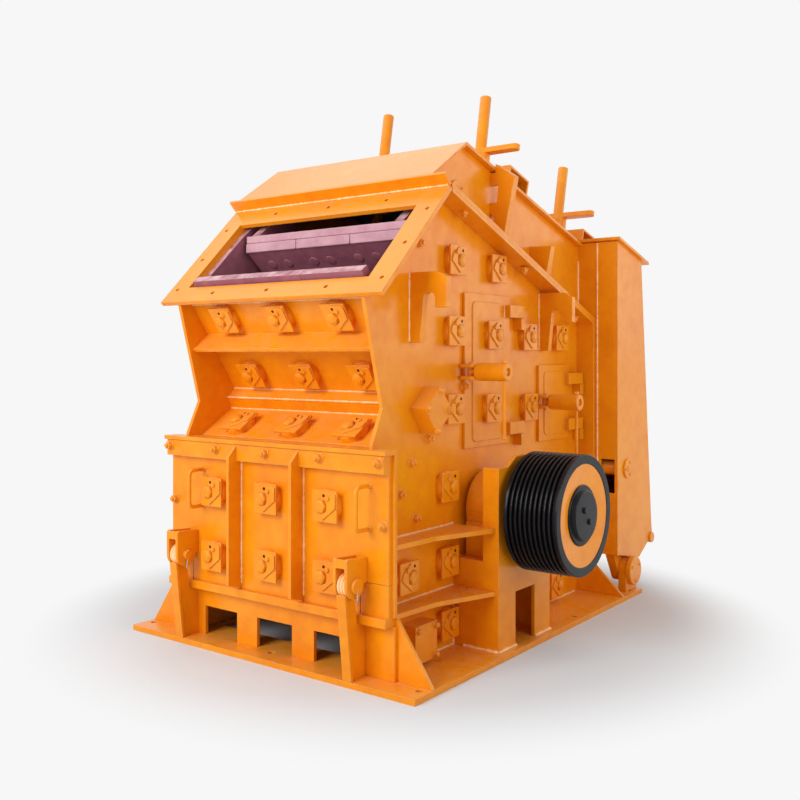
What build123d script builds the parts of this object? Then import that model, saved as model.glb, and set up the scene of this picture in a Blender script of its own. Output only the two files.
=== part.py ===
from build123d import *
import math
import os

# Horizontal shaft impact crusher for stone, in millimetres.
# X runs along the rotor shaft towards the drive pulley, Y from the feed side to the rear, Z up.
# The origin is the centre of the foundation bolts, on the ground.

# Housing plates
plate = 20
housing_half = 635
inner_half = housing_half - plate
flange_reach = 115
flange_half = housing_half + flange_reach
box_reach = 265
box_half = housing_half + box_reach
front_face = -1100
split_face = 962
seat_gap = 0.3
head_height = 1070
sill_top = 315
sill_projection = 50

# Base plate and foundation bolts
base_margin = 50
base_width = 2 * (box_half + base_margin)
base_length = 2440
base_thickness = 28
bolt_margin_x = 50
bolt_margin_y = 100
bolt_spacing_x = base_width - 2 * bolt_margin_x
bolt_spacing_y = base_length - 2 * bolt_margin_y
bolt_hole_radius = 17
discharge_half_width = inner_half - 30
discharge_front = front_face + 170
discharge_rear = split_face - 62

# Feed side profile, as pairs of Y and Z on the outer faces
cheek_foot = (-1117, head_height + 14)
cheek_kink = (-1038, head_height + 184)
cheek_top = (-1174, 1768)
chute_top = (-1091, 1768)
chute_foot = (-787, 1315)
chute_knee = (-840, 1266)
chute_heel = (-809, head_height + 134)
chute_plate = 40
chute_liner = 50
feed_liner_rise = 118
liner_gap = 3
visor_root = (-971, 1598)
visor_tip = (-1077, 1516)
apron_toe = (-1030, head_height - 2)
head_projection = 70

# Inlet flange, sloped at 45 degrees
inlet_low = (-1196, 1780)
inlet_high = (-650, 2326)
inlet_open_low = 112
inlet_open_high = 132
inlet_open_half = inner_half
inlet_thickness = 24
flange_bolt_radius = 12
flange_bolt_sides = 12
flange_bolt_half = housing_half + 62
flange_bolt_edge = 58
flange_side_shares = (0.13, 0.45, 0.78)
flange_columns = (-388, 0, 388)

# Split between the fixed housing and the rear frame
split_low = 1708
split_foot = 210
split_flange = 20

# Roof and rear frame
ridge = (-381, 2596)
ridge_half = housing_half + 37
roof_end = (944, 2196)
roof_plate = 16
hood_height = 72
hood_plate = 14
box_roof_start = (948, 2224)
box_roof_end = (1405, 2101)
box_rear_top = (1328, 2098)
box_rear_foot = (1491, 416)
box_heel = (1505, 322)
box_toe = (1291, 207)
box_front_foot = 270
box_lip = 20

# Front door
hinge_x = 570
door_half = flange_half - 15
door_neck_half = hinge_x - 2
door_thickness = 24
door_top = head_height - plate - 2
door_head_height = 82
door_head_depth = 38
door_rib_x = 205
door_rib_depth = 90
door_rib = 16
door_seam = 464
door_liner = 46
door_liner_top = head_height - 115
door_liner_seam = 633
door_liner_pitch = 374
door_liner_gap = 14
hinge_y = front_face - 108
hinge_z = 462
hinge_pin_radius = 22
ear_thickness = 16
ear_gap = 52
ear_radius = 60
ear_bridge_low = 84
ear_bridge_high = 124
hinge_pin_end = 20
post_width = 50
post_web = 18
hub_radius = 45
running_clearance = 0.05
drum_sides = 24

# Openings along the bottom of the front wall
port_width = 240
port_height = 150
port_pitch = 384

# Pedestals and bearings
shaft_y = -190
shaft_z = 705
pedestal_half = 265
pedestal_outer = housing_half + 270
pedestal_rib_x = pedestal_outer - 91
pedestal_split = shaft_z - 9
pedestal_shoulder = shaft_z + 233
pedestal_crown = shaft_z + 282
joint_groove = 3
joint_reach = 160
shoulder_run = 95
crown_run = 175
slot_half = 100
slot_top = 300
bearing_seat = shaft_z - 235
bearing_radius = 190
bearing_sides = 24
bearing_inner = housing_half + 30
bearing_outer = pedestal_outer - 30

# Rotor and pulley
shaft_radius = 80
shaft_core = 110
shaft_left_end = -pedestal_outer - 20
liner_thickness = 36
rotor_half = inner_half - liner_thickness - 59
disc_radius = 520
disc_thickness = 90
disc_count = 4
disc_sides = 36
core_sides = 24
bar_radius = 600
bar_width = 130
bar_root = bar_radius - bar_width
bar_thickness = 70
bar_count = 4
pulley_width = 290
pulley_inner = pedestal_outer + 45
pulley_outer = pulley_inner + pulley_width
pulley_radius = 302
pulley_rim = 45
pulley_land = 15
groove_count = 10
groove_depth = 15
groove_land = 4
web_thickness = 40
web_setback = 60
hub_outer_radius = 120
hub_inset = 20
pulley_sides = 36

# Ribs and gussets on the lower side walls
rib_thickness = 22
rib_high = 630
rib_low = 318
gusset_plate = 18
gusset_margin = 5

# Impact aprons
apron_half = inner_half - liner_thickness - 23
apron_depth = 110
apron_pivot = (-430, 2335)
apron_pivot_radius = 45
rear_pivot = (540, 2020)
rod_radius = 34
rod_x = 362
front_rod_foot = (40, 1560)
front_rod_top = (305, 3024)
rear_rod_foot = (900, 1040)
rear_rod_top = (1293, 2760)
rod_slot = 26

# Rear hinge
rear_hinge = (1150, 150)
rear_lug_radius = 80
rear_lug_inner = box_half - 43
rear_lug_outer = rear_lug_inner + 50
rear_lug_foot = 68
rear_arm_radius = 70
rear_arm_low = 25
rear_cap_radius = 88
rear_cap_thickness = 32
rear_pin_radius = 40
rear_arm_thickness = 55
rear_arm_clearance = 2

# Side doors: rear edge, width, bottom, height, hinge line, and the place of the clamp
door_specs = {
    "front": (88, 458, 1014, 810, 168, (-372, 1414)),
    "rear": (790, 367, 995, 445, 900, (427, 1230)),
}
side_door_thickness = 16
side_door_seat = 30
hinge_block_height = 68
hinge_block_margin = 50
hinge_block_gap = 2
wall_block_height = 64
wall_block_front = 18
wall_block_rear = 26
hinge_block_inset = 60
hinge_block_reach = 20
hinge_block_top = 690
clamp_lug_length = 80
clamp_lug_gap = 44
clamp_lug_thickness = 18
clamp_lug_half = 40
clamp_bolt_radius = 14
clamp_sleeve_radius = 46
clamp_sleeve_sides = 16
clamp_bolt_end = 10
clamp_sleeve_length = 182
tommy_radius = 8
tommy_drop = 338
tommy_head = 66
tommy_sides = 8
tommy_setback = 24

# Lifting hooks
hook_thickness = 36
hook_reach = 215
hook_positions = ((-814, 1894), (470, 1860))
hook_height = 336
hook_tip = 65
hook_chamfer = 55
hook_drop = 170
hook_slot_top = 95
hook_slot_radius = 34
hook_foot = 60

# Lock plates over the liner bolts, as places on each face
lock_boss_radius = 72
lock_boss_depth = 30
lock_plate_half = 75
lock_plate_thickness = 12
lock_tab_thickness = 8
lock_tab_outline = ((0, 68), (-15, 40), (19, 21), (19, -21), (-15, -40), (-8, -66), (71, -5), (71, 60), (50, 68))
lock_boss_sides = 8
lock_columns = (-388, 0, 388)
feed_lock_spots = (0.15, 0.79)
apron_lock_spot = 0.62
door_lock_rows = (794, 463)
wall_lock_places = (
    (-61, 1966), (-463, 1982), (-473, 1622), (281, 1602), (674, 1602), (-482, 1227), (293, 1203),
    (-536, 840), (-883, 448), (-536, 464), (-536, 153), (610, 126))
front_door_lock_places = ((-119, 1607), (-140, 1218))

# Handles on the front door: place across, bottom and top
handle_places = ((-486, 712, 903), (626, 709, 906))
handle_reach = 100
handle_radius = 10
handle_sides = 8

# Covers on the side walls: the apron stop cover is turned, and the low cover is square
stop_cover_outline = ((-830, 1248), (-704, 1346), (-604, 1225), (-738, 1117))
stop_cover_depth = 96
low_cover_front = -905
low_cover_rear = -729
low_cover_bottom = 45
low_cover_top = 225
low_cover_depth = 90

# Beams that carry the adjusting rods, and the lever nuts on the rods
front_beam = (112, 325)
rear_beam = (1076, 1310)
front_beam_half = inner_half + 5
rear_beam_half = inner_half - 15
beam_height = 128
beam_plate = 12
nut_radius = 58
nut_sides = 16
front_nut_height = 118
rear_nut_height = 98
nut_lift = 9
lever_reach = inner_half + 7
lever_width = 56
lever_thickness = 30

# Hooks on the rear frame, set on its flange: a tall one that bends over, and a low plate
tall_hook_place = -78
tall_hook = (
    (0, 2100), (91, 2100), (91, 2142), (145, 2400), (155, 2451), (41, 2526), (0, 2526), (0, 2416),
    (57, 2416), (45, 2320), (0, 2320), (0, 2270), (25, 2239), (25, 2142), (0, 2130))
low_hook_place = 360
low_hook = ((0, 1900), (110, 1961), (141, 2119), (0, 2125))
rear_hook_thickness = 45

# Lock pin of the rear box, seen through a slot in its front plate
box_slot_width = 93
box_slot_rows = (650, 857)

os.makedirs("parts", exist_ok=True)


def slab(x0, x1, y0, y1, z0, z1):
    """A flat plate or block between two corners."""
    return Pos((x0 + x1) / 2, (y0 + y1) / 2, (z0 + z1) / 2) * Box(x1 - x0, y1 - y0, z1 - z0)


def plate_x(outline, x0, x1):
    """A plate with its outline in Y and Z, between two X faces."""
    edge = Polyline(*[(x0, y, z) for y, z in outline], close=True)
    return extrude(make_face(edge), x1 - x0, dir=(1, 0, 0))


def plate_y(outline, y0, y1):
    """A plate with its outline in X and Z, between two Y faces."""
    edge = Polyline(*[(x, y0, z) for x, z in outline], close=True)
    return extrude(make_face(edge), y1 - y0, dir=(0, 1, 0))


def plate_z(outline, z0, z1):
    """A plate with its outline in X and Y, between two Z faces."""
    edge = Polyline(*[(x, y, z0) for x, y in outline], close=True)
    return extrude(make_face(edge), z1 - z0, dir=(0, 0, 1))


def bar_x(y, z, radius, x0, x1):
    """A round bar or hole along X."""
    return Pos((x0 + x1) / 2, y, z) * Rot(0, 90, 0) * Cylinder(radius, x1 - x0)


def drum_x(y, z, radius, x0, x1):
    """A thick round piece or a wide hole along X, with flats in place of its curve."""
    end = Plane((x0, y, z), x_dir=(0, 1, 0), z_dir=(1, 0, 0))
    return end * extrude(RegularPolygon(radius, drum_sides), x1 - x0)


def mirrored(solid):
    """The same piece on the other side of the machine."""
    return mirror(solid, about=Plane.YZ)


def shift(point, other, distance):
    """A point moved sideways from the line to the other point, to its left."""
    dy, dz = unit(point, other)
    return (point[0] - dz * distance, point[1] + dy * distance)


def along(point, other, distance):
    """A point at a distance along the line to the other point."""
    dy, dz = unit(point, other)
    return (point[0] + dy * distance, point[1] + dz * distance)


def band(start, end, thickness):
    """The outline of a straight plate seen on edge, thickened to the left of its line."""
    return [start, end, shift(end, start, -thickness), shift(start, end, thickness)]


def offset_path(points, distance):
    """A bent line moved to its left, mitred at each bend."""
    moved = []
    for i, point in enumerate(points):
        before = points[max(i - 1, 0)]
        after = points[min(i + 1, len(points) - 1)]
        first = unit(before, point) if i > 0 else unit(point, after)
        second = unit(point, after) if i < len(points) - 1 else first
        scale = distance / (1 + first[0] * second[0] + first[1] * second[1])
        moved.append((point[0] - (first[1] + second[1]) * scale, point[1] + (first[0] + second[0]) * scale))
    return moved


def unit(start, end):
    """The direction from one point to another."""
    length = math.dist(start, end)
    return ((end[0] - start[0]) / length, (end[1] - start[1]) / length)


def folded(points, thickness):
    """The outline of a folded plate seen on edge, thickened to the left of its path."""
    return points + offset_path(points, thickness)[::-1]


def height_on(line, y):
    """The height of a sloped line at a place along Y."""
    (y0, z0), (y1, z1) = line
    return z0 + (z1 - z0) * (y - y0) / (y1 - y0)


def turned(radius, sides, x0, x1):
    """A round piece on the shaft line, with flats in place of its curve."""
    end = Plane((x0, shaft_y, shaft_z), x_dir=(0, 1, 0), z_dir=(1, 0, 0))
    return end * extrude(RegularPolygon(radius, sides), x1 - x0)


def save(node, *solids):
    """Write one node."""
    export_step(Compound(list(solids)) if len(solids) > 1 else solids[0], f"parts/{node}.step")


split_line = (inlet_high, (split_face, split_low))
split_slope = (split_low - inlet_high[1]) / (split_face - inlet_high[0])
split_length = math.hypot(1, split_slope)


def split_height(y, offset):
    """The height of the sloped split, moved square to itself by an offset."""
    return height_on(split_line, y) + offset * split_length


# Base plate

def base_plate():
    body = slab(-base_width / 2, base_width / 2, -base_length / 2, base_length / 2, 0, base_thickness)
    body -= slab(-discharge_half_width, discharge_half_width, discharge_front, discharge_rear, -1, base_thickness + 1)
    for x in (-bolt_spacing_x / 2, 0, bolt_spacing_x / 2):
        for y in (-bolt_spacing_y / 2, bolt_spacing_y / 2):
            body -= Pos(x, y, base_thickness / 2) * Cylinder(bolt_hole_radius, base_thickness * 2)
    for x in (-bolt_spacing_x / 2, bolt_spacing_x / 2):
        for y in (-bolt_spacing_y / 6, bolt_spacing_y / 6):
            body -= Pos(x, y, base_thickness / 2) * Cylinder(bolt_hole_radius, base_thickness * 2)
    return body


save("base_plate", base_plate())


# Fixed housing: walls, flanges and sill

def door_hole(x0, x1, rear_edge, width, bottom, height):
    """The hole that a side door covers, smaller than its leaf by the seat."""
    return slab(x0 - 1, x1 + 1, rear_edge - width + side_door_seat, rear_edge - side_door_seat,
                bottom + side_door_seat, bottom + height - side_door_seat)


def side_wall(x0, x1):
    outline = [
        (front_face + plate, base_thickness),
        (front_face + plate, head_height),
        (cheek_foot[0], head_height),
        cheek_foot,
        cheek_kink,
        cheek_top,
        shift(inlet_low, inlet_high, -inlet_thickness),
        shift(inlet_high, inlet_low, inlet_thickness),
        (inlet_high[0] + 19, split_height(inlet_high[0] + 19, -split_flange)),
        (split_face - split_flange, split_height(split_face - split_flange, -split_flange)),
        (split_face - split_flange, base_thickness),
    ]
    body = plate_x(outline, x0, x1)
    body -= drum_x(shaft_y, shaft_z, shaft_core + 25, x0 - 1, x1 + 1)
    for spec in door_specs.values():
        body -= door_hole(x0, x1, *spec[:4])
    return body


right_wall = side_wall(inner_half, housing_half)
save("side_wall_right", right_wall)
save("side_wall_left", mirrored(right_wall))

lower_front_wall = slab(-flange_half, flange_half, front_face, front_face + plate, base_thickness, sill_top - 40)
for column in (-1, 0, 1):
    lower_front_wall -= slab(column * port_pitch - port_width / 2, column * port_pitch + port_width / 2,
                             front_face - 1, front_face + plate + 1, base_thickness - 1, base_thickness + port_height)
save("lower_front_wall", lower_front_wall)
save("sill", slab(-door_half, door_half, front_face - sill_projection, front_face + plate, sill_top - 40, sill_top))

front_flange = slab(housing_half - plate, flange_half, front_face, front_face + plate, sill_top, head_height - plate)
corner_filler = slab(door_neck_half + 6, door_half, front_face - door_thickness, front_face, sill_top, door_seam - 2)
save("front_flanges", front_flange + corner_filler, mirrored(front_flange + corner_filler))

save("lower_rear_wall", slab(-inner_half, inner_half, split_face - split_flange - plate, split_face - split_flange,
                             base_thickness, split_foot + 160))
head_flange = slab(-flange_half, flange_half, front_face - head_projection, front_face + plate,
                   head_height - plate, head_height)
head_flange += slab(-inner_half, inner_half, front_face + plate, apron_toe[0] + 60, head_height - plate, head_height)
save("head_flange", head_flange)

chute_path = [chute_top, chute_foot, chute_knee, chute_heel, apron_toe]
feed_wall = plate_x(folded(chute_path, chute_plate), -inner_half, inner_half)
feed_wall &= slab(-inner_half, inner_half, -2000, 0, head_height, 3000)
feed_wall += plate_x(band(visor_root, visor_tip, -plate), -inner_half, inner_half)
save("feed_wall", feed_wall)


def gusset(y0, top):
    toe = base_width / 2 - gusset_margin
    outline = [(housing_half, base_thickness), (toe, base_thickness), (flange_half, top), (housing_half, top)]
    return plate_y(outline, y0, y0 + gusset_plate)


front_gusset = gusset(front_face + plate, rib_low - rib_thickness / 2)
rear_gusset = gusset(split_face - split_flange, split_foot)
save("gussets", front_gusset, mirrored(front_gusset), rear_gusset, mirrored(rear_gusset))


# Inlet flange and split flanges

def inlet_flange():
    length = math.dist(inlet_low, inlet_high)
    body = plate_x(band(inlet_low, inlet_high, -inlet_thickness), -flange_half, flange_half)
    hole_low = along(inlet_low, inlet_high, inlet_open_low)
    hole_high = along(inlet_low, inlet_high, length - inlet_open_high)
    hole_outline = [shift(hole_low, hole_high, 1), shift(hole_high, hole_low, -1),
                    shift(hole_high, hole_low, inlet_thickness + 1), shift(hole_low, hole_high, -inlet_thickness - 1)]
    return body - plate_x(hole_outline, -inlet_open_half, inlet_open_half)


flange_plate = inlet_flange()
flange_length = math.dist(inlet_low, inlet_high)
side_spots = [share * flange_length for share in flange_side_shares]
bolt_spots = [(x, s) for s in side_spots for x in (-flange_bolt_half, flange_bolt_half)]
bolt_spots += [(x, s) for s in (flange_bolt_edge, flange_length - flange_bolt_edge) for x in flange_columns]
for x, s in bolt_spots:
    spot = along(inlet_low, inlet_high, s)
    across = Plane((x, *spot), x_dir=(1, 0, 0), z_dir=(0, *shift((0, 0), (1, 1), 1)))
    hole = extrude(RegularPolygon(flange_bolt_radius, flange_bolt_sides), 2 * inlet_thickness, both=True)
    flange_plate -= across * hole
save("inlet_flange", flange_plate)

split_top = inlet_high[0] + 19
front_split = plate_x([
    (split_top, split_height(split_top, -split_flange)),
    (split_top, split_height(split_top, 0)),
    (split_face, split_low),
    (split_face, split_foot),
    (split_face - split_flange, split_foot),
    (split_face - split_flange, split_height(split_face - split_flange, -split_flange)),
], housing_half, flange_half)
save("split_flanges", front_split, mirrored(front_split))


# Ribs on the lower side walls

def side_rib(height):
    outline = [
        (housing_half, front_face + plate), (flange_half, front_face + plate),
        (flange_half + 18, -800), (pedestal_outer - 18, shaft_y - pedestal_half),
        (housing_half, shaft_y - pedestal_half)]
    return plate_z(outline, height - rib_thickness / 2, height + rib_thickness / 2)


ribs = [side_rib(rib_high), side_rib(rib_low)]
save("side_ribs", *ribs, *[mirrored(rib) for rib in ribs])


# Pedestals and bearings

def pedestal():
    front = shaft_y - pedestal_half
    rear = shaft_y + pedestal_half
    side = plate_x([
        (front, base_thickness), (front, pedestal_shoulder), (front + shoulder_run, pedestal_shoulder),
        (front + crown_run, pedestal_crown), (rear - crown_run, pedestal_crown),
        (rear - shoulder_run, pedestal_shoulder), (rear, pedestal_shoulder), (rear, base_thickness)],
        pedestal_outer - plate, pedestal_outer)
    for y in (front, rear):
        side -= slab(pedestal_outer - joint_groove, pedestal_outer, y - joint_reach, y + joint_reach,
                     pedestal_split - joint_groove / 2, pedestal_split + joint_groove / 2)
    side -= slab(pedestal_outer - plate - 1, pedestal_outer + 1, shaft_y - slot_half, shaft_y + slot_half,
                 base_thickness - 1, slot_top)
    side -= drum_x(shaft_y, shaft_z, shaft_core + 5, pedestal_outer - plate - 1, pedestal_outer + 1)
    body = side
    for y in (front, rear - plate):
        body += slab(pedestal_rib_x, pedestal_outer - plate, y, y + plate, base_thickness, pedestal_shoulder)
        body += slab(housing_half, pedestal_rib_x, y, y + plate, base_thickness, bearing_seat)
    body += slab(housing_half, pedestal_outer - plate, front + plate, rear - plate, bearing_seat - 30, bearing_seat)
    return body


def bearing():
    length = bearing_outer - bearing_inner
    body = turned(bearing_radius, bearing_sides, bearing_inner, bearing_outer)
    body += slab(bearing_inner, bearing_outer, shaft_y - bearing_radius, shaft_y + bearing_radius,
                 bearing_seat, shaft_z - 60)
    body -= bar_x(shaft_y, shaft_z, shaft_radius + running_clearance, bearing_inner - length, bearing_outer + length)
    return body


right_pedestal = pedestal()
save("pedestal_right", right_pedestal)
save("pedestal_left", mirrored(right_pedestal))
right_bearing = bearing()
save("bearing_right", right_bearing)
save("bearing_left", mirrored(right_bearing))


# Door hinge posts

def hinge_post():
    toe = (-1218, base_thickness)
    chin = (hinge_y - hub_radius - 10, hinge_z - 40)
    web = plate_x([(front_face, base_thickness), toe, chin, (hinge_y + 20, hinge_z - 20),
                   (front_face - sill_projection - 4, sill_top - 40), (front_face, sill_top - 40)],
                  hinge_x - post_web / 2, hinge_x + post_web / 2)
    face = plate_x(band(toe, chin, -16), hinge_x - post_width / 2, hinge_x + post_width / 2)
    hub = drum_x(hinge_y, hinge_z, hub_radius, hinge_x - post_width / 2, hinge_x + post_width / 2)
    body = web + face + hub
    return body - bar_x(hinge_y, hinge_z, hinge_pin_radius + running_clearance, hinge_x - 60, hinge_x + 60)


right_post = hinge_post()
save("door_hinge_posts", right_post, mirrored(right_post))


# Rear hinge lugs on the base plate

def rear_lug():
    y, z = rear_hinge
    body = drum_x(y, z, rear_lug_radius, rear_lug_inner, rear_lug_outer)
    body += slab(rear_lug_inner, rear_lug_outer, y - rear_lug_foot, y + rear_lug_foot, base_thickness, z)
    body -= bar_x(y, z, rear_pin_radius + running_clearance, rear_lug_inner - 1, rear_lug_outer + 1)
    return body + drum_x(y, z, rear_cap_radius, rear_lug_outer, rear_lug_outer + rear_cap_thickness)


right_lug = rear_lug()
save("rear_hinge_lugs", right_lug, mirrored(right_lug))


# Lifting hooks on the fixed housing

def lifting_hook(y, top, root):
    outer = root + hook_reach
    tip = outer - hook_tip
    outline = [
        (root, top - hook_height), (root, top), (outer - hook_chamfer, top), (outer, top - hook_chamfer / 2),
        (outer, top - hook_drop), (tip, top - hook_drop), (tip, top - hook_slot_top - hook_slot_radius),
        (tip - 2 * hook_slot_radius, top - hook_slot_top - hook_slot_radius), (root + hook_foot, top - hook_height)]
    plate_body = plate_y(outline, y - hook_thickness / 2, y + hook_thickness / 2)
    arch = extrude(RegularPolygon(hook_slot_radius, drum_sides), hook_thickness, both=True)
    return plate_body - Pos(tip - hook_slot_radius, y, top - hook_slot_top - hook_slot_radius) * Rot(90, 0, 0) * arch


hooks = [lifting_hook(y, top, housing_half) for y, top in hook_positions]
save("lifting_hooks", *hooks, *[mirrored(hook) for hook in hooks])


# Liners seen through the inlet

chute_back = chute_plate + liner_gap
side_liner = plate_x([
    shift(chute_foot, chute_top, -chute_back), shift(along(chute_top, chute_foot, -60), chute_foot, chute_back),
    (-745, 2170), (-640, 2255), (880, 1690), (880, 1010), (-700, 1010), (-700, chute_foot[1])],
    inner_half - liner_thickness, inner_half)
for spec in door_specs.values():
    side_liner -= door_hole(inner_half - liner_thickness, inner_half, *spec[:4])
save("side_liners", side_liner, mirrored(side_liner))

liner_width = (2 * (inner_half - liner_thickness) - 4 * liner_gap) / 3
feed_liner = plate_x(band(shift(along(chute_top, chute_foot, -feed_liner_rise), chute_foot, chute_plate),
                          shift(chute_foot, chute_top, -chute_plate), chute_liner), -liner_width / 2, liner_width / 2)
feed_liners = [feed_liner.moved(Location((column * (liner_width + liner_gap), 0, 0))) for column in (-1, 0, 1)]
save("feed_liners", *feed_liners)


# Front door

def door_panel():
    back = front_face - seat_gap
    body = slab(-door_half, door_half, back - door_thickness, back, door_seam, door_top)
    body += slab(-door_neck_half, door_neck_half, back - door_thickness, back, sill_top + seat_gap, door_seam)
    return body


door_face = front_face - seat_gap - door_thickness
save("front_door_panel", door_panel())


def door_ribs():
    solids = []
    for x in (-door_rib_x - door_rib, door_rib_x):
        outline = [
            (door_face, sill_top + 6), (door_face - door_rib_depth, sill_top + 30),
            (door_face - door_rib_depth, door_top - 60), (door_face - door_head_depth, door_top - 6),
            (door_face, door_top - 6)]
        solids.append(plate_x(outline, x, x + door_rib))
    head = slab(-door_half, door_half, door_face - door_head_depth, door_face, door_top - door_head_height, door_top)
    return solids[0] + head + solids[1]


save("front_door_ribs", door_ribs())


def door_hinge():
    ears = None
    for side in (-1, 1):
        x0 = hinge_x + side * (ear_gap / 2 + ear_thickness / 2) - ear_thickness / 2
        ear = plate_x([(door_face, hinge_z + 4), (door_face, hinge_z + 118), (hinge_y - ear_radius, hinge_z + 128),
                       (hinge_y - ear_radius, hinge_z), (hinge_y, hinge_z)], x0, x0 + ear_thickness)
        ear += drum_x(hinge_y, hinge_z, ear_radius, x0, x0 + ear_thickness)
        ears = ear if ears is None else ears + ear
    pin_half = ear_gap / 2 + ear_thickness + hinge_pin_end
    pin = bar_x(hinge_y, hinge_z, hinge_pin_radius, hinge_x - pin_half, hinge_x + pin_half)
    bridge = slab(hinge_x - ear_gap / 2, hinge_x + ear_gap / 2, hinge_y - ear_radius, hinge_y - ear_radius + 14,
                  hinge_z + ear_bridge_low, hinge_z + ear_bridge_high)
    return ears + pin + bridge


right_hinge = door_hinge()
save("front_door_hinges", right_hinge, mirrored(right_hinge))

door_liners = []
door_liner_half = (door_liner_pitch - door_liner_gap) / 2
door_liner_rows = ((sill_top + 10, door_liner_seam - liner_gap), (door_liner_seam + liner_gap, door_liner_top))
for column in (-1, 0, 1):
    x = column * door_liner_pitch
    for z0, z1 in door_liner_rows:
        door_liners.append(slab(x - door_liner_half, x + door_liner_half,
                                front_face - seat_gap, front_face - seat_gap + door_liner, z0, z1))
save("front_door_liners", *door_liners)


# Rotor

shaft_profile = [
    (0, shaft_left_end), (shaft_radius, shaft_left_end), (shaft_radius, -bearing_inner + 5),
    (shaft_core, -bearing_inner + 5), (shaft_core, bearing_inner - 5), (shaft_radius, bearing_inner - 5),
    (shaft_radius, pulley_outer + 10), (0, pulley_outer + 10)]
shaft_edge = Polyline(*[(x, shaft_y, shaft_z + r) for r, x in shaft_profile], close=True)
shaft_axis = Axis((0, shaft_y, shaft_z), (1, 0, 0))
save("rotor_shaft", revolve(make_face(shaft_edge), shaft_axis, 360))

disc_pitch = (2 * rotor_half - disc_thickness) / (disc_count - 1)
discs = []
for i in range(disc_count):
    x0 = -rotor_half + i * disc_pitch
    disc = turned(disc_radius, disc_sides, x0, x0 + disc_thickness)
    disc -= turned(shaft_core / math.cos(math.pi / core_sides), core_sides, x0 - 1, x0 + disc_thickness + 1)
    for k in range(bar_count):
        slot = slab(x0 - 1, x0 + disc_thickness + 1, -bar_thickness / 2, bar_thickness / 2, bar_root, bar_radius)
        disc -= Pos(0, shaft_y, shaft_z) * Rot(45 + k * 360 / bar_count, 0, 0) * slot
    discs.append(disc)
save("rotor_discs", *discs)

bars = []
for k in range(bar_count):
    bar = slab(-rotor_half, rotor_half, -bar_thickness / 2, bar_thickness / 2, bar_root, bar_radius)
    bars.append(Pos(0, shaft_y, shaft_z) * Rot(45 + k * 360 / bar_count, 0, 0) * bar)
save("blow_bars", *bars)


def pulley():
    """A rim with grooves and a web set back from its face, which leaves room for the hub."""
    groove_pitch = (pulley_width - 2 * pulley_land) / groove_count
    inner = pulley_radius - pulley_rim
    web_face = pulley_outer - web_setback
    body = turned(pulley_radius, pulley_sides, pulley_inner, pulley_outer)
    body -= turned(inner, pulley_sides, pulley_inner - 1, web_face - web_thickness)
    body -= turned(inner, pulley_sides, web_face, pulley_outer + 1)
    body -= turned(hub_outer_radius, pulley_sides, pulley_inner, pulley_outer)
    for i in range(groove_count):
        start = pulley_inner + pulley_land + i * groove_pitch
        cutter = turned(2 * pulley_radius, 4, start + groove_land, start + groove_pitch - groove_land)
        body -= cutter - turned(pulley_radius - groove_depth, pulley_sides, start, start + groove_pitch)
    return body


save("drive_pulley", pulley())
hub = turned(hub_outer_radius, pulley_sides, pulley_inner + hub_inset, pulley_outer)
save("pulley_hub", hub - bar_x(shaft_y, shaft_z, shaft_radius, pulley_inner, pulley_outer + 20))


# Rear frame

roof_path = [ridge, roof_end]
box_roof_path = [box_roof_start, box_roof_end]


def under_roof(y):
    """The underside of the main roof plate."""
    return height_on(roof_path, y) - roof_plate * math.dist(*roof_path) / (roof_end[0] - ridge[0])


def under_box_roof(y):
    """The underside of the roof plate over the rear box."""
    return height_on(box_roof_path, y) - roof_plate * math.dist(*box_roof_path) / (box_roof_end[0] - box_roof_start[0])


rear_face = split_face + seat_gap
rear_top = (box_rear_top[0], under_box_roof(box_rear_top[0]))
rear_path = [(rear_face + plate, box_front_foot), box_toe, box_heel, box_rear_foot, rear_top]
rear_inner = offset_path(rear_path, plate)
rear_inner_top = (rear_inner[-1][0], under_box_roof(rear_inner[-1][0]))
rear_toe = [(y, height_on(rear_inner[:2], y)) for y in (rear_face + plate, rear_face)]
hood_foot = (inlet_high[0] + 1, inlet_high[1] + 1)
hood_tip = shift(hood_foot, inlet_low, -hood_height)
flange_start = hood_foot[0] + hood_plate

hood_corner = shift(hood_tip, hood_foot, hood_plate)
hood_under = (hood_tip, (ridge[0], ridge[1] - roof_plate))
hood_inner = hood_corner[0] + hood_plate / 2
rear_outline = [
    (flange_start, split_height(flange_start, seat_gap)),
    shift(hood_foot, hood_tip, -hood_plate - seat_gap),
    (hood_inner, height_on(hood_under, hood_inner) - seat_gap),
    (ridge[0], under_roof(ridge[0])),
    (roof_end[0], under_roof(roof_end[0])),
    (box_roof_start[0], under_box_roof(box_roof_start[0])),
    rear_inner_top,
    *rear_inner[3:0:-1],
    rear_toe[1],
    (rear_face, split_height(split_face, seat_gap)),
]
rear_side = plate_x(rear_outline, inner_half, housing_half)
for y, z in (apron_pivot, rear_pivot):
    rear_side -= bar_x(y, z, apron_pivot_radius + running_clearance, inner_half - 1, housing_half + 1)
save("rear_side_right", rear_side)
save("rear_side_left", mirrored(rear_side))

rear_flange = plate_x([
    (flange_start, split_height(flange_start, seat_gap)),
    (flange_start, split_height(flange_start, seat_gap + split_flange)),
    (rear_face, split_height(rear_face, seat_gap + split_flange)),
    (rear_face, split_height(rear_face, seat_gap)),
], housing_half, flange_half)
save("rear_flanges", rear_flange, mirrored(rear_flange))

hood_band = plate_x(band(hood_foot, hood_tip, -hood_plate), -flange_half, flange_half)
hood_top = plate_x([hood_corner, hood_tip, (ridge[0], ridge[1] - roof_plate), ridge], -ridge_half, ridge_half)
save("hood", hood_band + hood_top)


def rod_place(foot, top, z):
    """Where an adjusting rod crosses a height."""
    return foot[0] + (top[0] - foot[0]) * (z - foot[1]) / (top[1] - foot[1])


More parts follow.
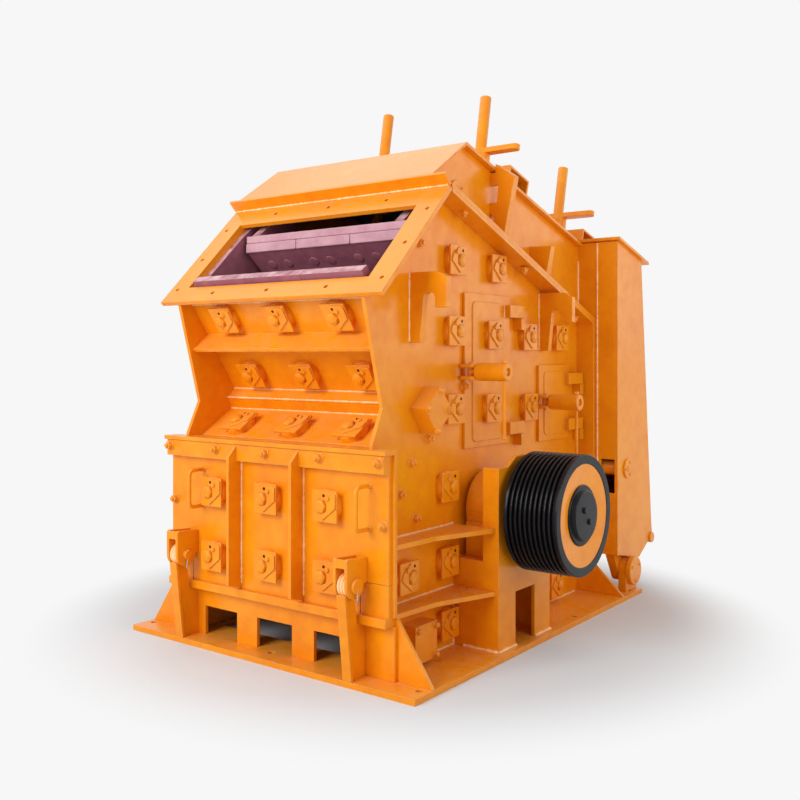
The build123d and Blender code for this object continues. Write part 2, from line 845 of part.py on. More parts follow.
def rod_slots(foot, top, z):
    """Slots that let the rods through a roof plate."""
    y = rod_place(foot, top, z)
    slots = [slab(x - rod_radius - 8, x + rod_radius + 8, y - rod_radius - rod_slot, y + rod_radius + rod_slot,
                  z - 100, z + 100) for x in (-rod_x, rod_x)]
    return slots


roof = plate_x([ridge, roof_end, (roof_end[0], under_roof(roof_end[0])), (ridge[0], under_roof(ridge[0]))],
               -ridge_half, ridge_half)
save("roof", roof - rod_slots(front_rod_foot, front_rod_top, 2420))

box_front = slab(housing_half, box_half - plate, rear_face, rear_face + plate, box_front_foot,
                 under_box_roof(rear_face + plate))
box_front -= slab(box_half - plate - box_slot_width, box_half, rear_face - 1, rear_face + plate + 1, *box_slot_rows)
save("rear_box_fronts", box_front, mirrored(box_front))
box_side_outline = rear_path + [(rear_face + plate, under_box_roof(rear_face + plate)),
                                (rear_face, under_box_roof(rear_face + plate)), (rear_face, box_front_foot)]
box_side = plate_x(box_side_outline, box_half - plate, box_half)
save("rear_box_sides", box_side, mirrored(box_side))
rear_wall = plate_x(rear_path + [rear_inner_top] + rear_inner[3:0:-1] + [rear_toe[0]],
                    -box_half + plate, box_half - plate)
save("rear_wall", rear_wall)
box_roof = plate_x([
    box_roof_start, box_roof_end, (box_roof_end[0], under_box_roof(box_roof_end[0])),
    (box_roof_start[0], under_box_roof(box_roof_start[0]))], -box_half - box_lip, box_half + box_lip)
save("rear_roof", box_roof - rod_slots(rear_rod_foot, rear_rod_top, 2160))

arm_outer = rear_lug_inner - rear_arm_clearance
arm_inner = arm_outer - rear_arm_thickness
arm_half = rear_arm_radius - 5
arm = plate_x([(rear_hinge[0] - arm_half, rear_hinge[1] - rear_arm_low), along(rear_path[0], box_toe, 20), box_toe,
               (rear_hinge[0] + arm_half, rear_hinge[1] - rear_arm_low)], arm_inner, arm_outer)
arm += drum_x(*rear_hinge, rear_arm_radius, arm_inner, arm_outer)
arm += bar_x(*rear_hinge, rear_pin_radius, arm_inner, rear_lug_outer - 1)
save("rear_hinge_arms", arm, mirrored(arm))


# Beams over the rods, and hooks on the rear flange

def rod_beam(line, front, rear, half, foot, top):
    """A channel turned down on a roof, with holes for the two rods."""
    roof_line = ((front, height_on(line, front)), (rear, height_on(line, rear)))
    outer = band(*roof_line, beam_height)
    inner = band((front + beam_plate, height_on(line, front + beam_plate)),
                 (rear - beam_plate, height_on(line, rear - beam_plate)), beam_height - beam_plate)
    body = plate_x(outer, -half, half) - plate_x(inner, -half - 1, half + 1)
    middle = height_on(line, (front + rear) / 2) + beam_height
    return body - rod_slots(foot, top, middle)


save("rod_beams", rod_beam(roof_path, *front_beam, front_beam_half, front_rod_foot, front_rod_top),
     rod_beam(box_roof_path, *rear_beam, rear_beam_half, rear_rod_foot, rear_rod_top))


def rear_hook(outline, y):
    front = y - rear_hook_thickness / 2
    rear = y + rear_hook_thickness / 2
    body = plate_y([(housing_half + x, z) for x, z in outline], front, rear)
    under = [(edge, split_height(edge, seat_gap + split_flange)) for edge in (front - 1, rear + 1)]
    body -= plate_x([*under, (rear + 1, under[1][1] - 400), (front - 1, under[0][1] - 400)],
                    housing_half - 1, flange_half + 1)
    return body - slab(0, ridge_half + seat_gap, front - 1, rear + 1, under_roof(rear) - seat_gap, ridge[1])


right_hooks = [rear_hook(tall_hook, tall_hook_place), rear_hook(low_hook, low_hook_place)]
save("rear_hooks", *right_hooks, *[mirrored(hook) for hook in right_hooks])


# Impact aprons with their adjusting rods

def rod_seat(foot, top, depth):
    """A lug behind the apron, square to the rod that it carries."""
    left = shift(foot, top, rod_radius + 20)
    right = shift(foot, top, -rod_radius - 20)
    low_left = shift(left, right, -depth)
    low_right = shift(right, left, depth)
    return [plate_x([left, right, low_right, low_left], x - 50, x + 50) for x in (-rod_x, rod_x)]


def apron(outline, pivot, foot, top, depth):
    body = plate_x(outline, -apron_half, apron_half)
    body += bar_x(*pivot, apron_pivot_radius, -housing_half, housing_half)
    for seat in rod_seat(foot, top, depth):
        body += seat
    return body


def rods(foot, top, seat, nut_height):
    """Two rods, each with a long nut on its beam and a lever out to the side."""
    run = unit(foot, top)
    length = math.dist(foot, top)
    start = (seat - foot[1]) / run[1]
    half_lever = (lever_reach - rod_x + nut_radius) / 2
    shank = extrude(RegularPolygon(rod_radius, nut_sides), length)
    nut = extrude(RegularPolygon(nut_radius, nut_sides), nut_height)
    lever = Pos(half_lever - nut_radius, 0, nut_height + lever_thickness / 2)
    lever *= Box(2 * half_lever, lever_width, lever_thickness)
    right = shank + Pos(0, 0, start) * nut + Pos(0, 0, start) * lever
    right = Plane((rod_x, *foot), x_dir=(1, 0, 0), z_dir=(0, *run)) * right
    return [right, mirrored(right)]


def nut_seat(line, beam, foot, top):
    """The height at which the nuts of a pair of rods stand clear of their beam."""
    crown = height_on(line, (beam[0] + beam[1]) / 2) + beam_height
    place = rod_place(foot, top, crown)
    return height_on(line, place) + beam_height * math.dist(*line) / abs(line[1][0] - line[0][0]) + nut_lift


front_tip = (40, 1370)
front_nose = (-740, 2068)
front_apron_outline = [
    front_nose, (-740, 2166), (-470, 2372), (-392, 2310),
    shift(along(front_nose, front_tip, 250), front_tip, apron_depth),
    shift(front_tip, front_nose, -apron_depth), front_tip]
save("front_apron", apron(front_apron_outline, apron_pivot, front_rod_foot, front_rod_top, 130))
front_seat = nut_seat(roof_path, front_beam, front_rod_foot, front_rod_top)
save("front_rods", *rods(front_rod_foot, front_rod_top, front_seat, front_nut_height))

rear_tip = (480, 900)
rear_nose = (440, 1900)
rear_apron_outline = [
    rear_nose, (460, 2040), (540, 2090), (620, 2040), (640, 1600), (700, 1150), (610, 880), rear_tip]
rear_apron = apron(rear_apron_outline, rear_pivot, rear_rod_foot, rear_rod_top, 60)
for x in (-rod_x, rod_x):
    rear_apron += plate_x([(640, 1100), (rear_rod_foot[0] - 50, rear_rod_foot[1]),
                           (rear_rod_foot[0] - 20, rear_rod_foot[1] - 50), (610, 940)], x - 30, x + 30)
save("rear_apron", rear_apron)
rear_seat = nut_seat(box_roof_path, rear_beam, rear_rod_foot, rear_rod_top)
save("rear_rods", *rods(rear_rod_foot, rear_rod_top, rear_seat, rear_nut_height))


# Lock plates over the liner bolts

def lock_plate():
    """A boss, a square plate and a bent tab, built up from the face that carries them."""
    boss = extrude(RegularPolygon(lock_boss_radius, lock_boss_sides), lock_boss_depth)
    top = lock_boss_depth + lock_plate_thickness
    square = Pos(0, 0, lock_boss_depth + lock_plate_thickness / 2) * Box(
        2 * lock_plate_half, 2 * lock_plate_half, lock_plate_thickness)
    return boss + square + plate_z(lock_tab_outline, top, top + lock_tab_thickness)


def on_face(solid, x, spot, normal):
    """A piece set on a face that looks along a direction in Y and Z."""
    return Plane((x, *spot), x_dir=(1, 0, 0), z_dir=(0, *normal)) * solid


def on_wall(solid, x, y, z):
    """A piece set on the outside of the right wall."""
    return Plane((x, y, z), x_dir=(0, 1, 0), z_dir=(1, 0, 0)) * solid


lock = lock_plate()
wall_lock = mirrored(lock)
wall_locks = [on_wall(wall_lock, housing_half, y, z) for y, z in wall_lock_places]
feed_locks = []
for column in lock_columns:
    for share in feed_lock_spots:
        spot = along(chute_top, chute_foot, share * math.dist(chute_top, chute_foot))
        feed_locks.append(on_face(lock, column, spot, shift((0, 0), unit(chute_top, chute_foot), -1)))
    spot = along(chute_heel, apron_toe, apron_lock_spot * math.dist(chute_heel, apron_toe))
    feed_locks.append(on_face(lock, column, spot, shift((0, 0), unit(chute_heel, apron_toe), -1)))
save("liner_lock_plates", *wall_locks, *[mirrored(plate_) for plate_ in wall_locks], *feed_locks)
save("door_lock_plates", *[on_face(lock, column, (door_face, row), (-1, 0))
                           for column in lock_columns for row in door_lock_rows])


# Handles on the front door

def door_handle(x, bottom, top):
    bar = RegularPolygon(handle_radius, handle_sides)
    front = door_face - handle_reach
    body = Plane((x, front, bottom - handle_radius)) * extrude(bar, top - bottom + 2 * handle_radius)
    for z in (bottom, top):
        body += Plane((x, door_face, z), x_dir=(1, 0, 0), z_dir=(0, -1, 0)) * extrude(bar, handle_reach)
    return body


save("door_handles", *[door_handle(*place) for place in handle_places])


# Covers on the side walls

stop_cover = plate_x(stop_cover_outline, housing_half, housing_half + stop_cover_depth)
low_cover = slab(housing_half, housing_half + low_cover_depth, low_cover_front, low_cover_rear,
                 low_cover_bottom, low_cover_top)
save("wall_covers", stop_cover, low_cover, mirrored(stop_cover), mirrored(low_cover))


# Side doors: the leaf with its hinge blocks, its lock plates and the clamp that holds it shut

def block_heights(bottom, height):
    """The undersides of the two hinge blocks on a leaf."""
    return (bottom + hinge_block_margin, bottom + height - hinge_block_margin - hinge_block_height)


def side_door(rear_edge, width, bottom, height, hinge_line, clamp, lock_places):
    face = housing_half + seat_gap
    front = face + side_door_thickness
    body = slab(face, front, rear_edge - width, rear_edge, bottom, bottom + height)
    for z in block_heights(bottom, height):
        body += slab(front, hinge_block_top, rear_edge - hinge_block_inset, hinge_line + hinge_block_reach,
                     z, z + hinge_block_height)
    y, z = clamp
    lug_end = front + clamp_lug_length
    sleeve_end = lug_end + clamp_sleeve_length
    for side in (-1, 1):
        centre = z + side * (clamp_lug_gap + clamp_lug_thickness) / 2
        body += slab(front, lug_end, y - clamp_lug_half, y + clamp_lug_half,
                     centre - clamp_lug_thickness / 2, centre + clamp_lug_thickness / 2)
    sleeve = extrude(RegularPolygon(clamp_sleeve_radius, clamp_sleeve_sides), clamp_sleeve_length)
    body += on_wall(sleeve, lug_end, y, z)
    bolt = extrude(RegularPolygon(clamp_bolt_radius, tommy_sides), sleeve_end + clamp_bolt_end - front)
    body += on_wall(bolt, front, y, z)
    tommy_bar = extrude(RegularPolygon(tommy_radius, tommy_sides), tommy_head + tommy_drop)
    body += Pos(sleeve_end - tommy_setback, y, z - tommy_drop) * tommy_bar
    for place in lock_places:
        body += on_wall(wall_lock, front, *place)
    return body


wall_blocks = []
for name, spec in door_specs.items():
    leaf = side_door(*spec, front_door_lock_places if name == "front" else ())
    save(f"side_door_{name}_right", leaf)
    save(f"side_door_{name}_left", mirrored(leaf))
    for z in block_heights(*spec[2:4]):
        top = z - hinge_block_gap
        wall_blocks.append(slab(housing_half, hinge_block_top, spec[4] - wall_block_front,
                                spec[4] + wall_block_rear, top - wall_block_height, top))
save("side_door_hinge_blocks", *wall_blocks, *[mirrored(block) for block in wall_blocks])
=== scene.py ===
import math

import bmesh
import bpy
from mathutils import Matrix, Vector


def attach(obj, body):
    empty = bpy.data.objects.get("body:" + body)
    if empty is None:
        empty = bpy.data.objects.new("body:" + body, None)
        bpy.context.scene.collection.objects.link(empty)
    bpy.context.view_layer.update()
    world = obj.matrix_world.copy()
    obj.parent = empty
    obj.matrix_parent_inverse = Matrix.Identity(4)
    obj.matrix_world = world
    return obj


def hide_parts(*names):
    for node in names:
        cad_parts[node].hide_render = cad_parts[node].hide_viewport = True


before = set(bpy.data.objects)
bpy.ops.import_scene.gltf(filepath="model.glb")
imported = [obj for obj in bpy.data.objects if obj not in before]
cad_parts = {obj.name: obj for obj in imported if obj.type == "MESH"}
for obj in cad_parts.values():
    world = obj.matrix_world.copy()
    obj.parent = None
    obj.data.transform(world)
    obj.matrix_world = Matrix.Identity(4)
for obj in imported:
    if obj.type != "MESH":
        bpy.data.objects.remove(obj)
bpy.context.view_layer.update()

# The camera stands level in front of the crusher's right corner, at chest height on a small platform.
# The lens and the shift give the photograph's frame.
camera_place = (3.337, -4.509, 1.500)
camera_turn = math.atan2(0.6, 0.8)
camera_focus_px = 953
picture_px = 800
horizon_px = 355

camera_data = bpy.data.cameras.new("camera")
camera_data.sensor_width = 36
camera_data.lens = camera_focus_px / picture_px * camera_data.sensor_width
camera_data.shift_y = (horizon_px - picture_px / 2) / picture_px
camera = bpy.data.objects.new("camera", camera_data)
camera.location = camera_place
camera.rotation_euler = (math.radians(90), 0, camera_turn)
bpy.context.scene.collection.objects.link(camera)
bpy.context.scene.camera = camera
bpy.context.scene.view_settings.view_transform = "Standard"


def srgb(red, green, blue):
    """A colour as it looks on screen, from 0 to 255, made linear."""
    channels = [value / 255 for value in (red, green, blue)]
    return (*[c / 12.92 if c <= 0.04045 else ((c + 0.055) / 1.055) ** 2.4 for c in channels], 1)


def add(tree, kind, inputs=None, **settings):
    """Add a node to a tree. An input takes a value or another node's socket."""
    node = tree.nodes.new(kind)
    for name, value in settings.items():
        setattr(node, name, value)
    for name, value in (inputs or {}).items():
        if isinstance(value, bpy.types.NodeSocket):
            tree.links.new(value, node.inputs[name])
        else:
            node.inputs[name].default_value = value
    return node


# The studio is a white floor that runs out into a white surround, lit by a soft sky and large lamps.
# Past the object's shadow the floor glows as bright as the surround, so no horizon shows.
surround_white = srgb(247, 247, 247)
sky_light = 0.42
floor_radius = 40
floor_near = 1.45
floor_far = 2.2
floor_grey = (0.70, 0.735, 0.755, 1)

world = bpy.data.worlds.new("surround")
bpy.context.scene.world = world
world.use_nodes = True
world.node_tree.nodes.clear()
path = add(world.node_tree, "ShaderNodeLightPath")
seen = add(world.node_tree, "ShaderNodeMath", {
    0: path.outputs["Is Camera Ray"], 1: path.outputs["Is Glossy Ray"]}, operation="MAXIMUM")
seen = add(world.node_tree, "ShaderNodeMath", {0: seen.outputs[0], 1: path.outputs["Is Transmission Ray"]},
           operation="MAXIMUM")
lit = add(world.node_tree, "ShaderNodeBackground", {"Color": (1, 1, 1, 1), "Strength": sky_light})
shown = add(world.node_tree, "ShaderNodeBackground", {"Color": surround_white, "Strength": 1})
either = add(world.node_tree, "ShaderNodeMixShader", {
    0: seen.outputs[0], 1: lit.outputs[0], 2: shown.outputs[0]})
add(world.node_tree, "ShaderNodeOutputWorld", {"Surface": either.outputs[0]})


def floor_material():
    material = bpy.data.materials.new("studio_floor")
    material.use_nodes = True
    tree = material.node_tree
    tree.nodes.clear()
    place = add(tree, "ShaderNodeTexCoord")
    reach = add(tree, "ShaderNodeVectorMath", {0: place.outputs["Object"]}, operation="LENGTH")
    fade = add(tree, "ShaderNodeMapRange", {"Value": reach.outputs["Value"], "From Min": floor_near,
                                            "From Max": floor_far}, interpolation_type="SMOOTHSTEP")
    near = add(tree, "ShaderNodeBsdfDiffuse", {"Color": floor_grey})
    far = add(tree, "ShaderNodeEmission", {"Color": surround_white, "Strength": 1})
    mixed = add(tree, "ShaderNodeMixShader", {0: fade.outputs[0], 1: near.outputs[0], 2: far.outputs[0]})
    add(tree, "ShaderNodeOutputMaterial", {"Surface": mixed.outputs[0]})
    return material


floor_mesh = bpy.data.meshes.new("floor")
floor_corners = [(floor_radius * math.cos(turn), floor_radius * math.sin(turn), 0)
                 for turn in (math.tau * step / 64 for step in range(64))]
floor_mesh.from_pydata(floor_corners, [], [tuple(range(64))])
floor_mesh.materials.append(floor_material())
floor = bpy.data.objects.new("floor", floor_mesh)
bpy.context.scene.collection.objects.link(floor)


def softbox(name, place, target, size, power):
    """A large square lamp that faces a point on the machine and isn't seen itself."""
    lamp = bpy.data.lights.new(name, "AREA")
    lamp.shape = "SQUARE"
    lamp.size = size
    lamp.energy = power
    holder = bpy.data.objects.new(name, lamp)
    holder.location = place
    holder.rotation_euler = (Vector(target) - Vector(place)).to_track_quat("-Z", "Y").to_euler()
    holder.visible_camera = False
    bpy.context.scene.collection.objects.link(holder)


softbox("front_lamp", (-0.8, -6.8, 4.0), (0, 0, 1.1), 4, 365)
softbox("side_lamp", (6.5, -1.5, 2.8), (0, 0, 0.8), 3, 92)
softbox("rear_lamp", (5.0, 5.2, 3.6), (0.6, 0.3, 1.7), 4.5, 82)
softbox("top_lamp", (-2, 0.5, 8), (0, 0, 1), 8, 162)


# Every plate of the housing, the doors and the rear frame is mild steel, sprayed with orange gloss enamel.
# The coat has orange peel and thin and thick patches. Faces that turn up are painted paler in patches, as
# dust together with a painted sheen of the light from above, and the edges carry a painted highlight.
orange = srgb(240, 150, 12)
orange_deep = srgb(226, 124, 4)
# The pale colour for faces that turn up is dust and a painted sheen; the pale edge colour is a painted
# highlight.
dust_and_sheen_pale = srgb(240, 190, 120)
edge_highlight_pale = srgb(255, 196, 120)
inside_navy = srgb(98, 136, 172)
inner_half = 0.6155
hood_band_inner = -0.640


def new_group(name, inputs, outputs):
    """An empty shader node group with named inputs and outputs."""
    group = bpy.data.node_groups.new(name, "ShaderNodeTree")
    for label, kind, value in inputs:
        socket = group.interface.new_socket(label, in_out="INPUT", socket_type=kind)
        socket.default_value = value
    for label, kind in outputs:
        group.interface.new_socket(label, in_out="OUTPUT", socket_type=kind)
    return group, group.nodes.new("NodeGroupInput"), group.nodes.new("NodeGroupOutput")


def mix_colours(tree, share, first, second):
    """A colour between two others."""
    mixer = add(tree, "ShaderNodeMix", {0: share, 6: first, 7: second}, data_type="RGBA")
    return mixer.outputs[2]


def combine(tree, operation, first, second):
    """Two numbers put together by one sum."""
    return add(tree, "ShaderNodeMath", {0: first, 1: second}, operation=operation).outputs[0]


def span(tree, value, low, high, start=0.0, end=1.0):
    """A number spread from one range to another, and held at its ends."""
    wanted = {"Value": value, "From Min": low, "From Max": high, "To Min": start, "To Max": end}
    return add(tree, "ShaderNodeMapRange", wanted).outputs[0]


def noise(tree, place, scale, detail, rough=0.6):
    """A cloudy pattern from 0 to 1."""
    wanted = {"Vector": place, "Scale": scale, "Detail": detail, "Roughness": rough}
    return add(tree, "ShaderNodeTexNoise", wanted).outputs["Fac"]


def enamel_group():
    group, given, result = new_group(
        "sprayed_enamel",
        [("Paint", "NodeSocketColor", orange), ("Deep", "NodeSocketColor", orange_deep),
         ("Dust", "NodeSocketColor", dust_and_sheen_pale), ("Rubbed", "NodeSocketColor", edge_highlight_pale),
         ("Inside", "NodeSocketColor", inside_navy), ("Inside amount", "NodeSocketFloat", 0.0),
         ("Patches", "NodeSocketFloat", 0.8), ("Dust amount", "NodeSocketFloat", 0.35),
         ("Edge width", "NodeSocketFloat", 0.005), ("Edge amount", "NodeSocketFloat", 0.6),
         ("Peel", "NodeSocketFloat", 0.22), ("Gloss", "NodeSocketFloat", 0.30)],
        [("Color", "NodeSocketColor"), ("Roughness", "NodeSocketFloat"), ("Normal", "NodeSocketVector")])
    given = given.outputs
    place = add(group, "ShaderNodeTexCoord").outputs["Object"]
    broad = noise(group, place, 1.7, 4)
    blotch = noise(group, place, 14, 6)
    patches = span(group, combine(group, "ADD", broad, blotch), 0.75, 1.25)
    thin = combine(group, "MULTIPLY", patches, given["Patches"])
    colour = mix_colours(group, thin, given["Paint"], given["Deep"])
    faces = add(group, "ShaderNodeNewGeometry").outputs["Normal"]
    up = add(group, "ShaderNodeSeparateXYZ", {0: faces}).outputs["Z"]
    # Faces that turn up go paler in patches: dust, and a painted sheen of the light from above.
    dust_and_sheen_mask = combine(group, "MULTIPLY", span(group, up, 0.3, 1.0), span(group, blotch, 0.35, 0.65))
    dust_and_sheen_share = combine(group, "MULTIPLY", dust_and_sheen_mask, given["Dust amount"])
    colour = mix_colours(group, dust_and_sheen_share, colour, given["Dust"])
    # The rounded edges are mixed to a paler colour: a painted highlight along them.
    rounded = add(group, "ShaderNodeBevel", {"Radius": given["Edge width"]}, samples=4).outputs["Normal"]
    turned = add(group, "ShaderNodeVectorMath", {0: rounded, 1: faces}, operation="DOT_PRODUCT")
    broken = combine(group, "MULTIPLY", blotch, 0.08)
    edge = span(group, combine(group, "ADD", turned.outputs["Value"], broken), 1.0, 0.84)
    edge_highlight_share = combine(group, "MULTIPLY", edge, given["Edge amount"])
    colour = mix_colours(group, edge_highlight_share, colour, given["Rubbed"])
    split = add(group, "ShaderNodeSeparateXYZ", {0: place}).outputs
    aside = add(group, "ShaderNodeMath", {0: split["X"]}, operation="ABSOLUTE").outputs[0]
    within = combine(group, "MULTIPLY", combine(group, "LESS_THAN", aside, inner_half),
                     combine(group, "LESS_THAN", up, -0.3))
    within = combine(group, "MULTIPLY", within, combine(group, "GREATER_THAN", split["Y"], hood_band_inner))
    hidden = combine(group, "MULTIPLY", within, given["Inside amount"])
    colour = mix_colours(group, hidden, colour, given["Inside"])
    peel = noise(group, place, 220, 2)
    waves = noise(group, place, 9, 2)
    waves = combine(group, "MULTIPLY", waves, 2.0)
    height = combine(group, "ADD", waves, combine(group, "MULTIPLY", peel, 0.08))
    bump = add(group, "ShaderNodeBump", {"Strength": given["Peel"], "Distance": 0.004, "Height": height,
                                         "Normal": rounded})
    rough = combine(group, "ADD", given["Gloss"], span(group, blotch, 0.3, 0.7, -0.06, 0.10))
    for label, socket in (("Color", colour), ("Roughness", rough), ("Normal", bump.outputs[0])):
        group.links.new(socket, result.inputs[label])
    return group


enamel = enamel_group()


def painted(name, coat=0.15, level=0.25, metal=0.0, **values):
    """A material of sprayed enamel with its own colours."""
    material = bpy.data.materials.new(name)
    material.use_nodes = True
    tree = material.node_tree
    surface = tree.nodes["Principled BSDF"]
    film = tree.nodes.new("ShaderNodeGroup")
    film.node_tree = enamel
    for label, value in values.items():
        film.inputs[label.replace("_", " ")].default_value = value
    tree.links.new(film.outputs["Color"], surface.inputs["Base Color"])
    tree.links.new(film.outputs["Roughness"], surface.inputs["Roughness"])
    tree.links.new(film.outputs["Normal"], surface.inputs["Normal"])
    surface.inputs["Coat Weight"].default_value = coat
    surface.inputs["Coat Roughness"].default_value = 0.16
    surface.inputs["Specular IOR Level"].default_value = level
    surface.inputs["Metallic"].default_value = metal
    return material


orange_enamel = painted("orange_enamel")
roof_enamel = painted("orange_enamel_dark_inside", Inside_amount=1.0)
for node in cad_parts.values():
    node.data.materials.clear()
    node.data.materials.append(orange_enamel)


def finish_nodes(material, *names):
    """Give CAD nodes their material."""
    for name in names:
        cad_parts[name].data.materials.clear()
        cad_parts[name].data.materials.append(material)


finish_nodes(roof_enamel, "hood", "roof", "rear_roof", "rear_side_right", "rear_side_left")

# The stone runs over cast manganese plates: feed liners, side liners and the two hanging aprons.
# They were dipped in a dark red primer. Their faces that turn up are painted pale pink in patches, dust and a
# painted sheen where the light reaches them, and their edges carry a painted highlight.
liner_primer = painted("liner_primer", coat=0.05, Paint=srgb(160, 98, 112), Deep=srgb(126, 72, 88),
                       Dust=srgb(232, 196, 196), Rubbed=srgb(206, 150, 152), Dust_amount=1.0, Peel=0.7,
                       Gloss=0.55)
finish_nodes(liner_primer, "side_liners", "feed_liners", "front_door_liners", "front_apron", "rear_apron")

# Inside, the rotor is bare forged steel: thick discs on a shaft, with four blow bars in their slots.
# The shaft's ends are turned bright, and its bearings sit in painted castings.
forged_steel = painted("forged_steel", coat=0.0, level=0.3, metal=0.35, Paint=srgb(84, 66, 56),
                       Deep=srgb(60, 44, 36), Dust=srgb(96, 80, 68), Rubbed=srgb(136, 120, 108), Peel=0.5,
                       Gloss=0.58)
turned_steel = painted("turned_steel", coat=0.0, level=0.5, metal=1.0, Paint=srgb(186, 186, 188),
                       Deep=srgb(160, 158, 158), Dust=srgb(170, 165, 160), Rubbed=srgb(220, 220, 222),
                       Peel=0.1, Gloss=0.30)
cast_enamel = painted("cast_enamel", Peel=0.9, Gloss=0.42)
finish_nodes(forged_steel, "rotor_discs", "blow_bars")
finish_nodes(turned_steel, "rotor_shaft")
finish_nodes(cast_enamel, "bearing_right", "bearing_left")

# Welded seams join the plates: a rough bead of steel under the paint, laid by hand in short runs.
# Its ripples catch the light, and the bead is painted paler as a painted highlight.
mm = 0.001
sharp_degrees = 38
# The beads and the hinge rings are painted pale peach: a painted highlight.
pale_highlight_enamel = painted("pale_highlight_enamel", Paint=srgb(255, 218, 168), Deep=srgb(242, 168, 84), Peel=0.5, Gloss=0.40)


def new_tree(name, inputs):
    """An empty geometry node tree that takes and gives a geometry, with more named inputs."""
    tree = bpy.data.node_groups.new(name, "GeometryNodeTree")
    tree.interface.new_socket("Geometry", in_out="INPUT", socket_type="NodeSocketGeometry")
    tree.interface.new_socket("Geometry", in_out="OUTPUT", socket_type="NodeSocketGeometry")
    for label, kind in inputs:
        tree.interface.new_socket(label, in_out="INPUT", socket_type=kind)
    return tree, tree.nodes.new("NodeGroupInput").outputs, tree.nodes.new("NodeGroupOutput").inputs


def bead_tree():
    tree, given, result = new_tree("weld_bead", [
        ("Width", "NodeSocketFloat"), ("Step", "NodeSocketFloat"), ("Seed", "NodeSocketInt"),
        ("Material", "NodeSocketMaterial")])
    line = add(tree, "GeometryNodeMeshToCurve", {"Mesh": given["Geometry"]})
    stepped = add(tree, "GeometryNodeResampleCurve", {
        "Curve": line.outputs["Curve"], "Length": given["Step"]}, mode="LENGTH")
    swell = add(tree, "FunctionNodeRandomValue", {2: 0.65, 3: 1.3, "Seed": given["Seed"]}, data_type="FLOAT")
    section = add(tree, "GeometryNodeCurvePrimitiveCircle", {"Resolution": 7, "Radius": given["Width"]})
    bead = add(tree, "GeometryNodeCurveToMesh", {
        "Curve": stepped.outputs["Curve"], "Profile Curve": section.outputs["Curve"],
        "Scale": swell.outputs[1], "Fill Caps": True})
    coated = add(tree, "GeometryNodeSetMaterial", {
        "Geometry": bead.outputs["Mesh"], "Material": given["Material"]})
    tree.links.new(coated.outputs["Geometry"], result["Geometry"])
    return tree


weld_bead = bead_tree()


def placed(name, mesh, body, bevel=0.0, replaces=()):
    """Put a finished mesh in the scene, riding on a body and standing for the CAD nodes named."""
    mesh.shade_smooth()
    mesh.set_sharp_from_angle(angle=math.radians(sharp_degrees))
    piece = bpy.data.objects.new(name, mesh)
    bpy.context.scene.collection.objects.link(piece)
    if bevel:
        rounded = piece.modifiers.new("rounded_edges", "BEVEL")
        rounded.width = bevel * mm
        rounded.segments = 2
        rounded.limit_method = "ANGLE"
        rounded.angle_limit = math.radians(sharp_degrees)
    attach(piece, body)
    if replaces:
        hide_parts(*replaces)
    return piece


def grown(points, tree, values):
    """The plain mesh that a geometry node tree makes of a mesh of points or lines."""
    holder = bpy.data.objects.new("holder", points)
    bpy.context.scene.collection.objects.link(holder)
    modifier = holder.modifiers.new("tree", "NODES")
    modifier.node_group = tree
    for item in tree.interface.items_tree:
        if item.name in values:
            modifier[item.identifier] = values[item.name]
    mesh = bpy.data.meshes.new_from_object(holder.evaluated_get(bpy.context.evaluated_depsgraph_get()))
    bpy.data.objects.remove(holder)
    return mesh


def welded(name, body, lines, width=5.5):
    """Beads along straight runs, each a list of corners in millimetres."""
    corners = []
    edges = []
    for line in lines:
        edges += [(len(corners) + step, len(corners) + step + 1) for step in range(len(line) - 1)]
        corners += [(x * mm, y * mm, z * mm) for x, y, z in line]
    runs = bpy.data.meshes.new(name)
    runs.from_pydata(corners, edges, [])
    values = {"Width": width * mm, "Step": 9 * mm, "Seed": len(name), "Material": pale_highlight_enamel}
    placed(name, grown(runs, weld_bead, values), body)


def both_sides(lines):
    """Runs on the right side, with the left side's added."""
    return lines + [[(-x, y, z) for x, y, z in line] for line in lines]


wall = 635
door_face = -1124.3
split_face = 962
chute = {"top": (-1091, 1768), "foot": (-787, 1315), "knee": (-840, 1266), "heel": (-809, 1204)}
visor_root = (-971, 1598)
housing_seams = [
    [(wall, split_face - 2, 2000), (wall, split_face - 2, 640)],
    [(wall, -1080, 642), (wall, -455, 642)],
    [(wall, -1080, 330), (wall, -455, 330)],
    [(wall, -455, 30), (wall, -455, 300)],
    [(wall + 4, -1040, 30), (wall + 4, 900, 30)],
]
welded("housing_seams", "housing", both_sides(housing_seams), 7)
across_seams = [[(-wall + 20, *spot), (wall - 20, *spot)] for spot in (visor_root, *chute.values())]
welded("feed_wall_seams", "housing", across_seams)
door_rib_faces = (-222, -204, 204, 222)
door_seam = door_face - 1
door_seams = [[(x, door_seam, 345), (x, door_seam, 964)] for x in door_rib_faces]
door_seams.append([(-730, door_seam, 965), (730, door_seam, 965)])
welded("front_door_seams", "front_door", door_seams)
welded("rear_frame_seams", "rear_frame", both_sides([
    [(wall + 1, 961, 2092), (wall + 1, 961, 880)],
    [(766, 961, 2196), (766, 961, 300)],
]))
welded("hood_seam", "rear_frame", [[(-740, -653, 2329), (740, -653, 2329)]])
welded("pedestal_seams", "housing", both_sides([
    [(700, -458, 30), (904, -458, 30)], [(700, 78, 30), (904, 78, 30)], [(906, -455, 30), (906, -290, 30)],
    [(906, -90, 30), (906, 75, 30)]]), 9)
welded("hook_seams", "housing", both_sides([
    [(wall, y + side * 19, top - 330), (wall, y + side * 19, top)]
    for y, top in ((-814, 1894), (470, 1860)) for side in (-1, 1)]))

